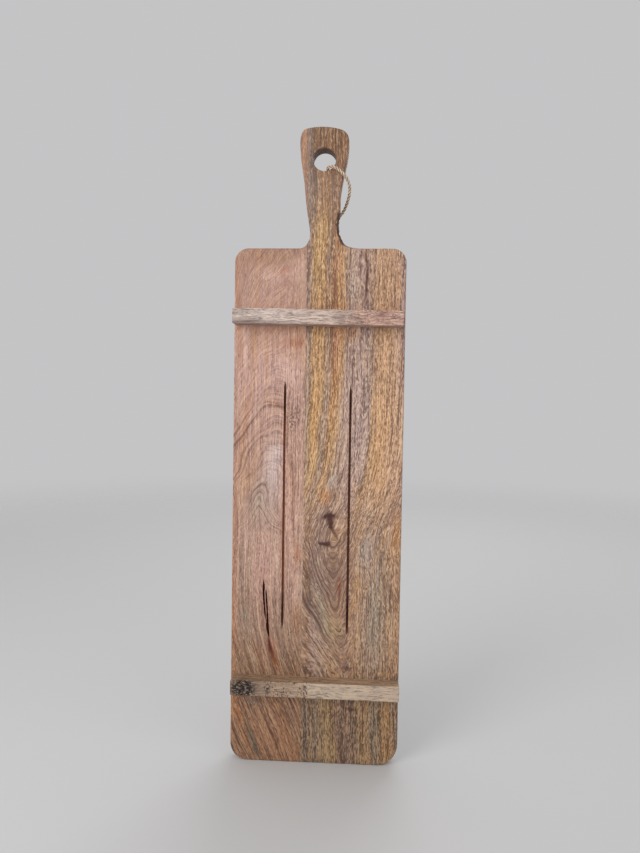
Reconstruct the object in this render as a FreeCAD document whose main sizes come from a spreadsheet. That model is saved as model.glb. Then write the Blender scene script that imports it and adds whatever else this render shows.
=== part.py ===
import FreeCAD, Part

import math
import os

import Sketcher

# A rustic wooden serving board that stands upright on its lower end. +Z runs along the board to its
# handle, +X is to the right and -Y points out of the face that carries the two bars. The origin is
# the middle of the lower end, in the plane of that face. All sizes are millimetres.

SHEET_NAME = "Dimensions"
DIMENSIONS = {
    # the board
    "board_width": 187.0,
    "body_length": 570.5,
    "board_thickness": 18.0,
    "glue_line_offset": 14.5,
    "edge_round": 2.0,
    "top_corner_radius": 15.0,
    "lower_left_radius": 19.5,
    "lower_right_radius": 24.0,
    # the hanging hole
    "hole_diameter": 25.0,
    "hole_offset": 3.2,
    "hole_height": 665.7,
    "hole_edge_round": 1.0,
    # the two blind saw kerfs
    "kerf_width": 2.7,
    "kerf_depth": 8.0,
    "blade_radius": 90.0,
    "left_kerf_offset": 36.5,
    "left_kerf_low": 150.5,
    "left_kerf_high": 427.0,
    "right_kerf_offset": 35.5,
    "right_kerf_low": 145.0,
    "right_kerf_high": 422.5,
    # the drying crack in the left plank
    "crack_depth": 4.0,
    # the two bars across the face
    "bar_height": 18.0,
    "bar_edge_round": 0.8,
    "upper_bar_width": 16.2,
    "upper_bar_length": 183.1,
    "upper_bar_offset": -1.2,
    "upper_bar_middle": 493.9,
    "upper_bar_tilt": 0.6,
    "lower_bar_width": 16.6,
    "lower_bar_length": 184.1,
    "lower_bar_offset": 1.0,
    "lower_bar_middle": 89.6,
    "lower_bar_tilt": 0.25,
    # the twine loop and its knot
    "twine_diameter": 3.4,
    "knot_radius": 5.4,
    "knot_height": 9.0,
    "knot_edge_round": 1.5,
    "knot_top": 592.0,
    "knot_offset": 5.0,
    "knot_behind_face": 5.8,
    "tail_spread": 12.0,
    "left_tail_length": 15.0,
    "right_tail_length": 12.0,
}

# The handle's outline, as points (x, z) that a smooth curve goes through.
LEFT_SHOULDER_END = (-23.0, 570.5)
LEFT_GLUE_LOW = (-14.5, 575.6)
LEFT_GLUE_HIGH = (-14.5, 606.5)
HANDLE_LEFT_EDGE = [
    LEFT_SHOULDER_END,
    (-18.4, 571.6),
    LEFT_GLUE_LOW,
    (-11.5, 586.5),
    (-13.0, 597.0),
    LEFT_GLUE_HIGH,
    (-16.6, 622.0),
    (-18.6, 641.5),
    (-21.6, 661.0),
    (-23.5, 681.0),
    (-22.6, 692.2),
    (-17.5, 698.8),
]
CROWN_TOP = (2.5, 701.0)
HANDLE_RIGHT_EDGE = [
    (21.0, 697.7),
    (27.6, 692.6),
    (29.6, 682.0),
    (27.2, 663.0),
    (23.2, 644.0),
    (20.8, 622.0),
    (21.0, 605.0),
    (20.4, 594.0),
    (22.4, 583.5),
    (26.0, 575.0),
    (34.5, 571.6),
    (47.0, 570.5),
]

# The handle cheek ends at this height, where it has thinned to under a millimetre.
CHEEK_FOOT = 612.0

# The crack's outline, as points (x, z): a thin leaf that leans to the right as it goes down.
CRACK_OUTLINE = [(-57.4, 207.0), (-55.0, 186.0), (-52.9, 166.0), (-49.8, 132.0), (-53.9, 164.0), (-56.2, 184.0)]

# The twine's route: from the knot up behind the handle, forward through the hole, round the
# handle's right edge and back to the knot.
TWINE_ROUTE = [
    (3.0, 23.8, 592.0),
    (3.0, 23.8, 601.5),
    (1.2, 22.4, 619.0),
    (2.4, 22.8, 638.0),
    (4.4, 24.4, 651.0),
    (5.6, 20.4, 659.8),
    (6.4, 9.0, 659.4),
    (7.0, -3.6, 658.4),
    (13.0, -8.2, 656.2),
    (22.0, -7.0, 650.8),
    (29.4, -1.8, 643.6),
    (31.4, 7.2, 635.2),
    (28.6, 16.4, 624.6),
    (22.8, 25.0, 613.6),
    (12.6, 25.2, 606.4),
    (7.0, 23.8, 600.0),
    (7.0, 23.8, 592.0),
]
ARC_SHARE = 0.45


def make_sheet(doc):
    """The spreadsheet of driving dimensions, one alias to each row."""
    sheet = doc.addObject("Spreadsheet::Sheet", SHEET_NAME)
    for row, (alias, value) in enumerate(DIMENSIONS.items(), start=1):
        sheet.set(f"A{row}", alias)
        sheet.set(f"B{row}", str(value))
        sheet.setAlias(f"B{row}", alias)
    doc.recompute()
    return sheet


def bind(target, path, formula):
    """Bind a property to a formula, in which a word after $ is an alias of the sheet."""
    target.setExpression(path, formula.replace("$", SHEET_NAME + "."))


def flat(point):
    return FreeCAD.Vector(point[0], point[1], 0.0)


def smooth_curve(points, first_heading, last_heading):
    """A spline through points, which leaves the first and reaches the last in the given directions."""
    curve = Part.BSplineCurve()
    curve.interpolate(
        Points=[flat(point) for point in points],
        InitialTangent=first_heading,
        FinalTangent=last_heading,
        Scale=False,
    )
    return curve


def add_sketch(body, name, role):
    """A sketch on one of the body's own origin planes."""
    sketch = body.newObject("Sketcher::SketchObject", name)
    plane = next(part for part in body.Origin.OriginFeatures if part.Role == role)
    sketch.AttachmentSupport = [(plane, "")]
    sketch.MapMode = "FlatFace"
    return sketch


def line(start, end):
    return Part.LineSegment(flat(start), flat(end))


def corner(centre, radius, start_degrees):
    """A quarter circle, counter-clockwise from start_degrees."""
    circle = Part.Circle(flat(centre), FreeCAD.Vector(0, 0, 1), radius)
    start = math.radians(start_degrees)
    return Part.ArcOfCircle(circle, start, start + math.pi / 2)


def rightward_tangent(curve, point):
    """The curve's direction at a point, taken the way that points to the right."""
    heading = curve.tangent(curve.parameter(point))[0]
    return heading if heading.x > 0 else heading * -1


def board_outline(sheet):
    """The whole board's outline as curves in the plane of its face, end to end."""
    half = sheet.board_width / 2
    length = sheet.body_length
    top = sheet.top_corner_radius
    low_left = sheet.lower_left_radius
    low_right = sheet.lower_right_radius
    crown = Part.Arc(flat(HANDLE_RIGHT_EDGE[0]), flat(CROWN_TOP), flat(HANDLE_LEFT_EDGE[-1]))
    rightward = FreeCAD.Vector(1, 0, 0)
    crown_right = rightward_tangent(crown, crown.StartPoint)
    crown_left = rightward_tangent(crown, crown.EndPoint)
    return [
        line((low_left - half, 0), (half - low_right, 0)),
        corner((half - low_right, low_right), low_right, 270),
        line((half, low_right), (half, length - top)),
        corner((half - top, length - top), top, 0),
        line((half - top, length), HANDLE_RIGHT_EDGE[-1]),
        smooth_curve(HANDLE_RIGHT_EDGE, crown_right, rightward),
        crown,
        smooth_curve(HANDLE_LEFT_EDGE, rightward, crown_left),
        line(HANDLE_LEFT_EDGE[0], (top - half, length)),
        corner((top - half, length - top), top, 90),
        line((-half, length - top), (-half, low_left)),
        corner((low_left - half, low_left), low_left, 180),
    ]


def add_outline_pad(body, sheet):
    """The board's outline, as thick as the planks, behind the face."""
    sketch = add_sketch(body, "board_outline", "XZ_Plane")
    sketch.addGeometry(board_outline(sheet))
    pad = body.newObject("PartDesign::Pad", "planks")
    pad.Profile = (sketch, [""])
    pad.Reversed = True
    bind(pad, "Length", "$board_thickness")
    return pad


def add_edge_round(body, pad, sheet):
    """The eased edges round the board's face and back."""
    edges = []
    for number, edge in enumerate(pad.Shape.Edges, start=1):
        box = edge.BoundBox
        in_face = abs(box.YMin) < 1e-6 and abs(box.YMax) < 1e-6
        in_back = abs(box.YMin - sheet.board_thickness) < 1e-6
        if in_face or in_back:
            edges.append(f"Edge{number}")
    rounded = body.newObject("PartDesign::Fillet", "eased_edges")
    rounded.Base = (pad, edges)
    bind(rounded, "Radius", "$edge_round")
    return rounded


def add_hanging_hole(body, sheet):
    """The round hole through the handle, with its two rims eased."""
    sketch = add_sketch(body, "hole_outline", "XZ_Plane")
    centre = (sheet.hole_offset, sheet.hole_height)
    circle = sketch.addGeometry(Part.Circle(flat(centre), FreeCAD.Vector(0, 0, 1), sheet.hole_diameter / 2))
    constraints = [
        ("diameter", "Diameter", (circle,), "$hole_diameter"),
        ("across", "DistanceX", (-1, 1, circle, 3), "$hole_offset"),
        ("height", "DistanceY", (-1, 1, circle, 3), "$hole_height"),
    ]
    constrain(sketch, sheet, constraints)
    hole = body.newObject("PartDesign::Pocket", "hanging_hole")
    hole.Profile = (sketch, [""])
    bind(hole, "Length", "$board_thickness + 1")
    body.Document.recompute()
    rims = []
    for number, edge in enumerate(hole.Shape.Edges, start=1):
        is_round = isinstance(edge.Curve, Part.Circle)
        if is_round and abs(edge.Curve.Radius - sheet.hole_diameter / 2) < 1e-6:
            rims.append(f"Edge{number}")
    eased = body.newObject("PartDesign::Fillet", "eased_hole")
    eased.Base = (hole, rims)
    bind(eased, "Radius", "$hole_edge_round")
    return eased


def constrain(sketch, sheet, constraints):
    """Add named constraints (name, kind, places, formula) and bind each to the sheet."""
    for name, kind, places, formula in constraints:
        value = getattr(sheet, formula.strip("$"))
        index = sketch.addConstraint(Sketcher.Constraint(kind, *places, value))
        sketch.renameConstraint(index, name)
        bind(sketch, f"Constraints.{name}", formula)


def add_kerf(body, sheet, side, offset_formula):
    """A blind kerf that a round blade cut, so that its bottom rises to the face at both ends."""
    depth = sheet.kerf_depth
    radius = sheet.blade_radius
    low = getattr(sheet, f"{side}_kerf_low")
    high = getattr(sheet, f"{side}_kerf_high")
    run_out = math.sqrt(radius**2 - (radius - depth) ** 2)
    half_angle = math.acos((radius - depth) / radius) / 2
    bow = radius * math.sin(half_angle)
    drop = radius * math.cos(half_angle)
    low_middle = (depth - radius + drop, low + run_out - bow)
    high_middle = (depth - radius + drop, high - run_out + bow)
    sketch = add_sketch(body, f"{side}_kerf_profile", "YZ_Plane")
    bind(sketch, "AttachmentOffset.Base.z", offset_formula)
    outside = -1.0
    sketch.addGeometry(
        [
            line((outside, low), (0, low)),
            Part.Arc(flat((0, low)), flat(low_middle), flat((depth, low + run_out))),
            line((depth, low + run_out), (depth, high - run_out)),
            Part.Arc(flat((depth, high - run_out)), flat(high_middle), flat((0, high))),
            line((0, high), (outside, high)),
            line((outside, high), (outside, low)),
        ]
    )
    kerf = body.newObject("PartDesign::Pocket", f"{side}_kerf")
    kerf.Profile = (sketch, [""])
    kerf.Midplane = True
    bind(kerf, "Length", "$kerf_width")
    return kerf


def add_crack(body):
    """The narrow drying crack in the face of the left plank."""
    sketch = add_sketch(body, "crack_outline", "XZ_Plane")
    ends = CRACK_OUTLINE[1:] + CRACK_OUTLINE[:1]
    sketch.addGeometry([line(start, end) for start, end in zip(CRACK_OUTLINE, ends)])
    crack = body.newObject("PartDesign::Pocket", "crack")
    crack.Profile = (sketch, [""])
    bind(crack, "Length", "$crack_depth")
    return crack


def make_board_blank(doc, sheet):
    """The glued board as one body, before it is told apart into its pieces of wood."""
    body = doc.addObject("PartDesign::Body", "board_blank")
    pad = add_outline_pad(body, sheet)
    doc.recompute()
    volumes = [pad.Shape.Volume]
    steps = [
        lambda: add_edge_round(body, pad, sheet),
        lambda: add_hanging_hole(body, sheet),
        lambda: add_kerf(body, sheet, "left", "-$left_kerf_offset"),
        lambda: add_kerf(body, sheet, "right", "$right_kerf_offset"),
        lambda: add_crack(body),
    ]
    for step in steps:
        feature = step()
        doc.recompute()
        if not feature.Shape.Volume < volumes[-1] - 1:
            raise RuntimeError(f"{feature.Name} cut nothing")
        volumes.append(feature.Shape.Volume)
    return body


def add_side_box(doc, name, low, high):
    """A box over everything left of the glue line between two heights, past the face and the back."""
    past = 5.0
    box = doc.addObject("Part::Box", name)
    bind(box, "Placement.Base.x", f"-$board_width / 2 - {past}")
    box.Placement.Base.y = -past
    box.Placement.Base.z = low
    bind(box, "Length", f"$board_width / 2 + {past} - $glue_line_offset")
    bind(box, "Width", f"$board_thickness + {2 * past}")
    box.Height = high - low
    return box


def make_planks(doc, blank):
    """The pieces of wood that meet at the glue line, cut from the blank."""
    sides = {
        "left_plank": (-5.0, 590.0),
        "handle_cheek": (CHEEK_FOOT, 710.0),
    }
    nodes = []
    boxes = []
    for label, (low, high) in sides.items():
        box = add_side_box(doc, f"{label}_side", low, high)
        boxes.append(box)
        piece = doc.addObject("Part::Common", label)
        piece.Base = blank
        piece.Tool = box
        piece.Label = label
        nodes.append(piece)
    left_of_glue = doc.addObject("Part::MultiFuse", "left_of_glue")
    left_of_glue.Shapes = boxes
    right_plank = doc.addObject("Part::Cut", "right_plank")
    right_plank.Base = blank
    right_plank.Tool = left_of_glue
    right_plank.Label = "right_plank"
    nodes.append(right_plank)
    return nodes


def make_bar(doc, sheet, side):
    """A square bar across the board's face, laid by eye: a little short, off centre and out of level."""
    label = f"{side}_bar"
    body = doc.addObject("PartDesign::Body", label)
    body.Label = label
    sketch = add_sketch(body, f"{label}_section", "YZ_Plane")
    height = sheet.bar_height
    width = getattr(sheet, f"{side}_bar_width")
    sides = [
        line((0, 0), (-height, 0)),
        line((-height, 0), (-height, width)),
        line((-height, width), (0, width)),
        line((0, width), (0, 0)),
    ]
    sketch.addGeometry(sides)
    for index in range(4):
        sketch.addConstraint(Sketcher.Constraint("Coincident", index, 2, (index + 1) % 4, 1))
    for index in (0, 2):
        sketch.addConstraint(Sketcher.Constraint("Horizontal", index))
    for index in (1, 3):
        sketch.addConstraint(Sketcher.Constraint("Vertical", index))
    sketch.addConstraint(Sketcher.Constraint("Coincident", 0, 1, -1, 1))
    constraints = [
        ("height", "DistanceX", (0, 2, 0, 1), "$bar_height"),
        ("width", "DistanceY", (1, 1, 1, 2), f"${side}_bar_width"),
    ]
    constrain(sketch, sheet, constraints)
    pad = body.newObject("PartDesign::Pad", f"{label}_length")
    pad.Profile = (sketch, [""])
    pad.Midplane = True
    bind(pad, "Length", f"${side}_bar_length")
    doc.recompute()
    edges = []
    for number, edge in enumerate(pad.Shape.Edges, start=1):
        if edge.BoundBox.YMin < -1e-6:
            edges.append(f"Edge{number}")
    rounded = body.newObject("PartDesign::Fillet", f"{label}_eased")
    rounded.Base = (pad, edges)
    bind(rounded, "Radius", "$bar_edge_round")
    body.Placement.Rotation.Axis = FreeCAD.Vector(0, 1, 0)
    bind(body, "Placement.Rotation.Angle", f"${side}_bar_tilt")
    bind(body, "Placement.Base.x", f"${side}_bar_offset")
    bind(body, "Placement.Base.z", f"${side}_bar_middle - ${side}_bar_width / 2")
    return body


def rounded_route(points):
    """A wire of straight runs joined by tangent arcs, each as large as its two runs allow."""
    points = [FreeCAD.Vector(*point) for point in points]
    edges = []
    radii = []
    start = points[0]
    for before, here, after in zip(points, points[1:], points[2:]):
        back = before - here
        ahead = after - here
        setback = ARC_SHARE * min(back.Length, ahead.Length)
        back.normalize()
        ahead.normalize()
        half_turn = (math.pi - back.getAngle(ahead)) / 2
        radius = setback / math.tan(half_turn)
        radii.append(radius)
        arc_start = here + back * setback
        arc_end = here + ahead * setback
        inward = back + ahead
        inward.normalize()
        arc_middle = here + inward * (radius / math.cos(half_turn) - radius)
        edges.append(Part.LineSegment(start, arc_start).toShape())
        edges.append(Part.Arc(arc_start, arc_middle, arc_end).toShape())
        start = arc_end
    edges.append(Part.LineSegment(start, points[-1]).toShape())
    return Part.Wire(edges), radii


def make_twine(doc, sheet):
    """The loop of twine, as a plain tube along its route."""
    wire, radii = rounded_route(TWINE_ROUTE)
    radius = sheet.twine_diameter / 2
    heading = wire.Edges[0].tangentAt(wire.Edges[0].FirstParameter)
    section = Part.Wire(Part.makeCircle(radius, FreeCAD.Vector(*TWINE_ROUTE[0]), heading))
    tube = wire.makePipeShell([section], True, True)
    expected = math.pi * radius**2 * wire.Length
    print("twine arc radii:", ", ".join(f"{value:.1f}" for value in radii))
    print(f"twine length: {wire.Length:.1f}, volume over section times length: {tube.Volume / expected:.4f}")
    twine = doc.addObject("Part::Feature", "hanging_twine")
    twine.Shape = tube
    twine.Label = "hanging_twine"
    twine.Placement = FreeCAD.Placement()
    return twine


def make_tail(doc, side, lean):
    """A short tail of twine that leans out of the bottom of the knot."""
    tail = doc.addObject("Part::Cylinder", f"{side}_tail")
    bind(tail, "Radius", "$twine_diameter / 2")
    bind(tail, "Height", f"${side}_tail_length")
    bind(tail, "Placement.Base.x", f"$knot_offset {lean} $twine_diameter * 0.6")
    bind(tail, "Placement.Base.y", "$board_thickness + $knot_behind_face")
    bind(tail, "Placement.Base.z", "$knot_top - $knot_height / 2")
    tail.Placement.Rotation.Axis = FreeCAD.Vector(0, 1, 0)
    bind(tail, "Placement.Rotation.Angle", f"180 {'+' if lean == '-' else '-'} $tail_spread")
    return tail


def make_knot(doc):
    """The knot that closes the loop, with a flat top where both strands meet it."""
    ball = doc.addObject("Part::Cylinder", "knot_core")
    bind(ball, "Radius", "$knot_radius")
    bind(ball, "Height", "$knot_height")
    bind(ball, "Placement.Base.x", "$knot_offset")
    bind(ball, "Placement.Base.y", "$board_thickness + $knot_behind_face")
    bind(ball, "Placement.Base.z", "$knot_top - $knot_height")
    doc.recompute()
    rounded = doc.addObject("Part::Fillet", "knot_body")
    rounded.Base = ball
    edge_round = DIMENSIONS["knot_edge_round"]
    rims = [n for n, edge in enumerate(ball.Shape.Edges, start=1) if isinstance(edge.Curve, Part.Circle)]
    rounded.Edges = [(number, edge_round, edge_round) for number in rims]
    knot = doc.addObject("Part::MultiFuse", "twine_knot")
    knot.Shapes = [rounded, make_tail(doc, "left", "-"), make_tail(doc, "right", "+")]
    knot.Label = "twine_knot"
    return knot


def check(doc, nodes):
    """Stop if any object failed or any sub-part isn't one valid solid."""
    for thing in doc.Objects:
        if "Invalid" in thing.State or "Error" in thing.State:
            raise RuntimeError(f"{thing.Name} failed: {thing.State}")
    for node in nodes:
        shape = node.Shape
        if shape.isNull() or not shape.isValid() or len(shape.Solids) != 1:
            raise RuntimeError(f"{node.Label} isn't one valid solid")


def main():
    doc = FreeCAD.newDocument("serving_board")
    sheet = make_sheet(doc)
    blank = make_board_blank(doc, sheet)
    nodes = make_planks(doc, blank)
    nodes.append(make_bar(doc, sheet, "upper"))
    nodes.append(make_bar(doc, sheet, "lower"))
    nodes.append(make_twine(doc, sheet))
    nodes.append(make_knot(doc))
    doc.recompute()
    check(doc, nodes)
    os.makedirs("parts", exist_ok=True)
    for node in nodes:
        node.Shape.exportStep(f"parts/{node.Label}.step")
        box = node.Shape.BoundBox
        print(f"{node.Label}: volume {node.Shape.Volume:.0f}, x {box.XMin:.1f} to {box.XMax:.1f},")
        print(f"    y {box.YMin:.1f} to {box.YMax:.1f}, z {box.ZMin:.1f} to {box.ZMax:.1f}")


main()
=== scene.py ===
import math
import random

import bmesh
import bpy
import numpy as np
from mathutils import Matrix, Vector, noise
from mathutils.geometry import delaunay_2d_cdt


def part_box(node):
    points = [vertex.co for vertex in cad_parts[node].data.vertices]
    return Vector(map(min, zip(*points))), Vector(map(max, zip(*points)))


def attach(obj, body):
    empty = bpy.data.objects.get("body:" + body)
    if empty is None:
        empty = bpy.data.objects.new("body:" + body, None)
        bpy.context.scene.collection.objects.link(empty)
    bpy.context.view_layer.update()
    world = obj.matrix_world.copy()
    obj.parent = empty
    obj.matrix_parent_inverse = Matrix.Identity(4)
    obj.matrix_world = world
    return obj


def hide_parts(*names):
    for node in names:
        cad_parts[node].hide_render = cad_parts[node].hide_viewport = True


# A rustic wooden serving board: two planks glued side by side, a paddle handle, two square bars
# across the face, two blind saw kerfs and a loop of jute twine. Lengths are metres in the frame of
# the CAD model: +Z to the handle, -Y out of the face with the bars. MM turns millimetres into them.

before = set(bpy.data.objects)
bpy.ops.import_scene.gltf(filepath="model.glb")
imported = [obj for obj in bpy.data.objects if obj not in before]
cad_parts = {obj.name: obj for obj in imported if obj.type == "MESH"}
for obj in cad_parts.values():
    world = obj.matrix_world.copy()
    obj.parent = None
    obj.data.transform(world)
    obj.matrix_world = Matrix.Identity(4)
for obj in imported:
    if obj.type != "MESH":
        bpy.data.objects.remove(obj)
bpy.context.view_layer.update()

MM = 0.001
ROOT = "root"
draw = random.Random(20240)


# ---- places read from the frame

def low(node):
    """The lowest corner of a CAD node's box."""
    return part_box(node)[0]


def high(node):
    """The highest corner of a CAD node's box."""
    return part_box(node)[1]


FACE_Y = high("upper_bar").y
BACK_Y = high("right_plank").y
GLUE_X = high("left_plank").x
CHEEK_FOOT_Z = low("handle_cheek").z
SAME_PLACE = 0.02 * MM
TINY = 1e-7


def section_segments(node, y):
    """The segments (x, z) in which a CAD node's mesh crosses the plane at y."""
    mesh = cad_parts[node].data
    mesh.calc_loop_triangles()
    points = [vertex.co for vertex in mesh.vertices]
    segments = []
    for triangle in mesh.loop_triangles:
        corners = [points[index] for index in triangle.vertices]
        crossing = []
        for a, b in zip(corners, corners[1:] + corners[:1]):
            if (a.y - y) * (b.y - y) < 0:
                first, second = sorted((a, b), key=tuple)
                place = first.lerp(second, (y - first.y) / (second.y - first.y))
                crossing.append(Vector((place.x, place.z)))
        if len(crossing) == 2 and (crossing[0] - crossing[1]).length > TINY:
            segments.append(crossing)
    return segments


def is_glue_joint(place):
    """True on the glue line, or on the step at the foot of the handle cheek."""
    on_line = abs(place.x - GLUE_X) < SAME_PLACE
    on_step = abs(place.y - CHEEK_FOOT_Z) < SAME_PLACE and place.x < GLUE_X + SAME_PLACE
    return on_line or on_step


def chained_loops(segments):
    """Closed loops of points, joined end to end from loose segments."""
    loops = []
    rest = list(segments)
    while rest:
        loop = list(rest.pop())
        while rest:
            end = loop[-1]
            gaps = [min((end - a).length, (end - b).length) for a, b in rest]
            nearest = min(range(len(rest)), key=gaps.__getitem__)
            if gaps[nearest] > SAME_PLACE:
                break
            a, b = rest.pop(nearest)
            loop.append(b if (end - a).length < (end - b).length else a)
        loops.append(loop[:-1])
    return sorted(loops, key=len, reverse=True)


def travelled(line):
    """How far along a line each of its points lies."""
    return np.concatenate([[0], np.cumsum(np.linalg.norm(np.diff(line, axis=0), axis=1))])


def unit(vectors):
    """One vector or several, scaled to length 1."""
    return vectors / np.linalg.norm(vectors, axis=-1, keepdims=True)


def even_loop(loop, step):
    """A closed loop redrawn counter-clockwise with evenly spaced points, as an array."""
    points = np.array([tuple(p) for p in loop])
    nexts = np.roll(points, -1, axis=0)
    area = np.sum(points[:, 0] * nexts[:, 1] - nexts[:, 0] * points[:, 1])
    if area < 0:
        points = points[::-1]
    closed = np.vstack([points, points[:1]])
    along = travelled(closed)
    places = np.linspace(0, along[-1], int(along[-1] / step), endpoint=False)
    even = np.stack([np.interp(places, along, closed[:, axis]) for axis in (0, 1)], axis=1)
    for _ in range(2):
        even = 0.5 * even + 0.25 * (np.roll(even, 1, axis=0) + np.roll(even, -1, axis=0))
    return even


def outward(loop):
    """The outward direction at each point of a counter-clockwise loop."""
    tangent = unit(np.roll(loop, -1, axis=0) - np.roll(loop, 1, axis=0))
    return np.stack([tangent[:, 1], -tangent[:, 0]], axis=1)


# ---- mesh helpers

SHARP_FOLD = math.radians(38)
MERGE_DISTANCE = 0.002 * MM
NET_ROW_SPACING = 0.87
NET_CLEARANCE = 0.55


def bumps(x, y, z):
    """Smooth noise at a place, from about -1 to 1."""
    return noise.noise(Vector((x, y, z)))


def link(name, data):
    """A new object in the scene."""
    obj = bpy.data.objects.new(name, data)
    bpy.context.scene.collection.objects.link(obj)
    return obj


def add_object(name, verts, faces):
    """A mesh object from points and faces, with smooth faces and sharp folds."""
    mesh = bpy.data.meshes.new(name)
    mesh.from_pydata([tuple(v) for v in verts], [], faces)
    obj = link(name, mesh)
    shade(obj)
    return obj


def shade(obj):
    """Outward normals, smooth faces, and edges sharp where the surface folds."""
    work = bmesh.new()
    work.from_mesh(obj.data)
    bmesh.ops.remove_doubles(work, verts=work.verts, dist=MERGE_DISTANCE)
    bmesh.ops.recalc_face_normals(work, faces=work.faces)
    for face in work.faces:
        face.smooth = True
    for edge in work.edges:
        edge.smooth = len(edge.link_faces) != 2 or edge.calc_face_angle(0) < SHARP_FOLD
    work.to_mesh(obj.data)
    work.free()


def inside(points, loop):
    """Which points lie inside a closed loop, by counting crossings."""
    x, z = points[:, 0], points[:, 1]
    result = np.zeros(len(points), bool)
    for (ax, az), (bx, bz) in zip(loop, np.roll(loop, -1, axis=0)):
        if az != bz:
            crosses = (az > z) != (bz > z)
            result ^= crosses & (x < (bx - ax) * (z - az) / (bz - az) + ax)
    return result


def distance_to_loop(points, loop):
    """The distance from each point to the nearest point of a densely drawn loop."""
    result = np.full(len(points), np.inf)
    for place in loop:
        np.minimum(result, np.hypot(points[:, 0] - place[0], points[:, 1] - place[1]), out=result)
    return result


def relief(x, z):
    """The gentle unevenness of hand-planed wood, in metres."""
    broad = bumps(x / 0.045, 3.1, z / 0.110)
    fine = bumps(x / 0.009, 7.7, z / 0.038)
    return 0.16 * MM * broad + 0.05 * MM * fine


class Slit:
    """A long narrow cut into the face. Each station along it has a middle, a half width and a depth."""

    def __init__(self, stations, rows, floor_share):
        self.tips = stations[0][0], stations[-1][0]
        self.inner = stations[1:-1]
        self.rows = rows
        self.floor_share = floor_share

    def side(self, sign, narrowing=1):
        """The points (x, z) of one side: -1 is the left, and 1 the right."""
        return [(middle[0] + sign * half * narrowing, middle[1]) for middle, half, _ in self.inner]

    def loop(self):
        """The cut's outline in the face: up its left side, and down its right side."""
        first, last = self.tips
        return [first, *self.side(-1), last, *reversed(self.side(1))]


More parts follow.
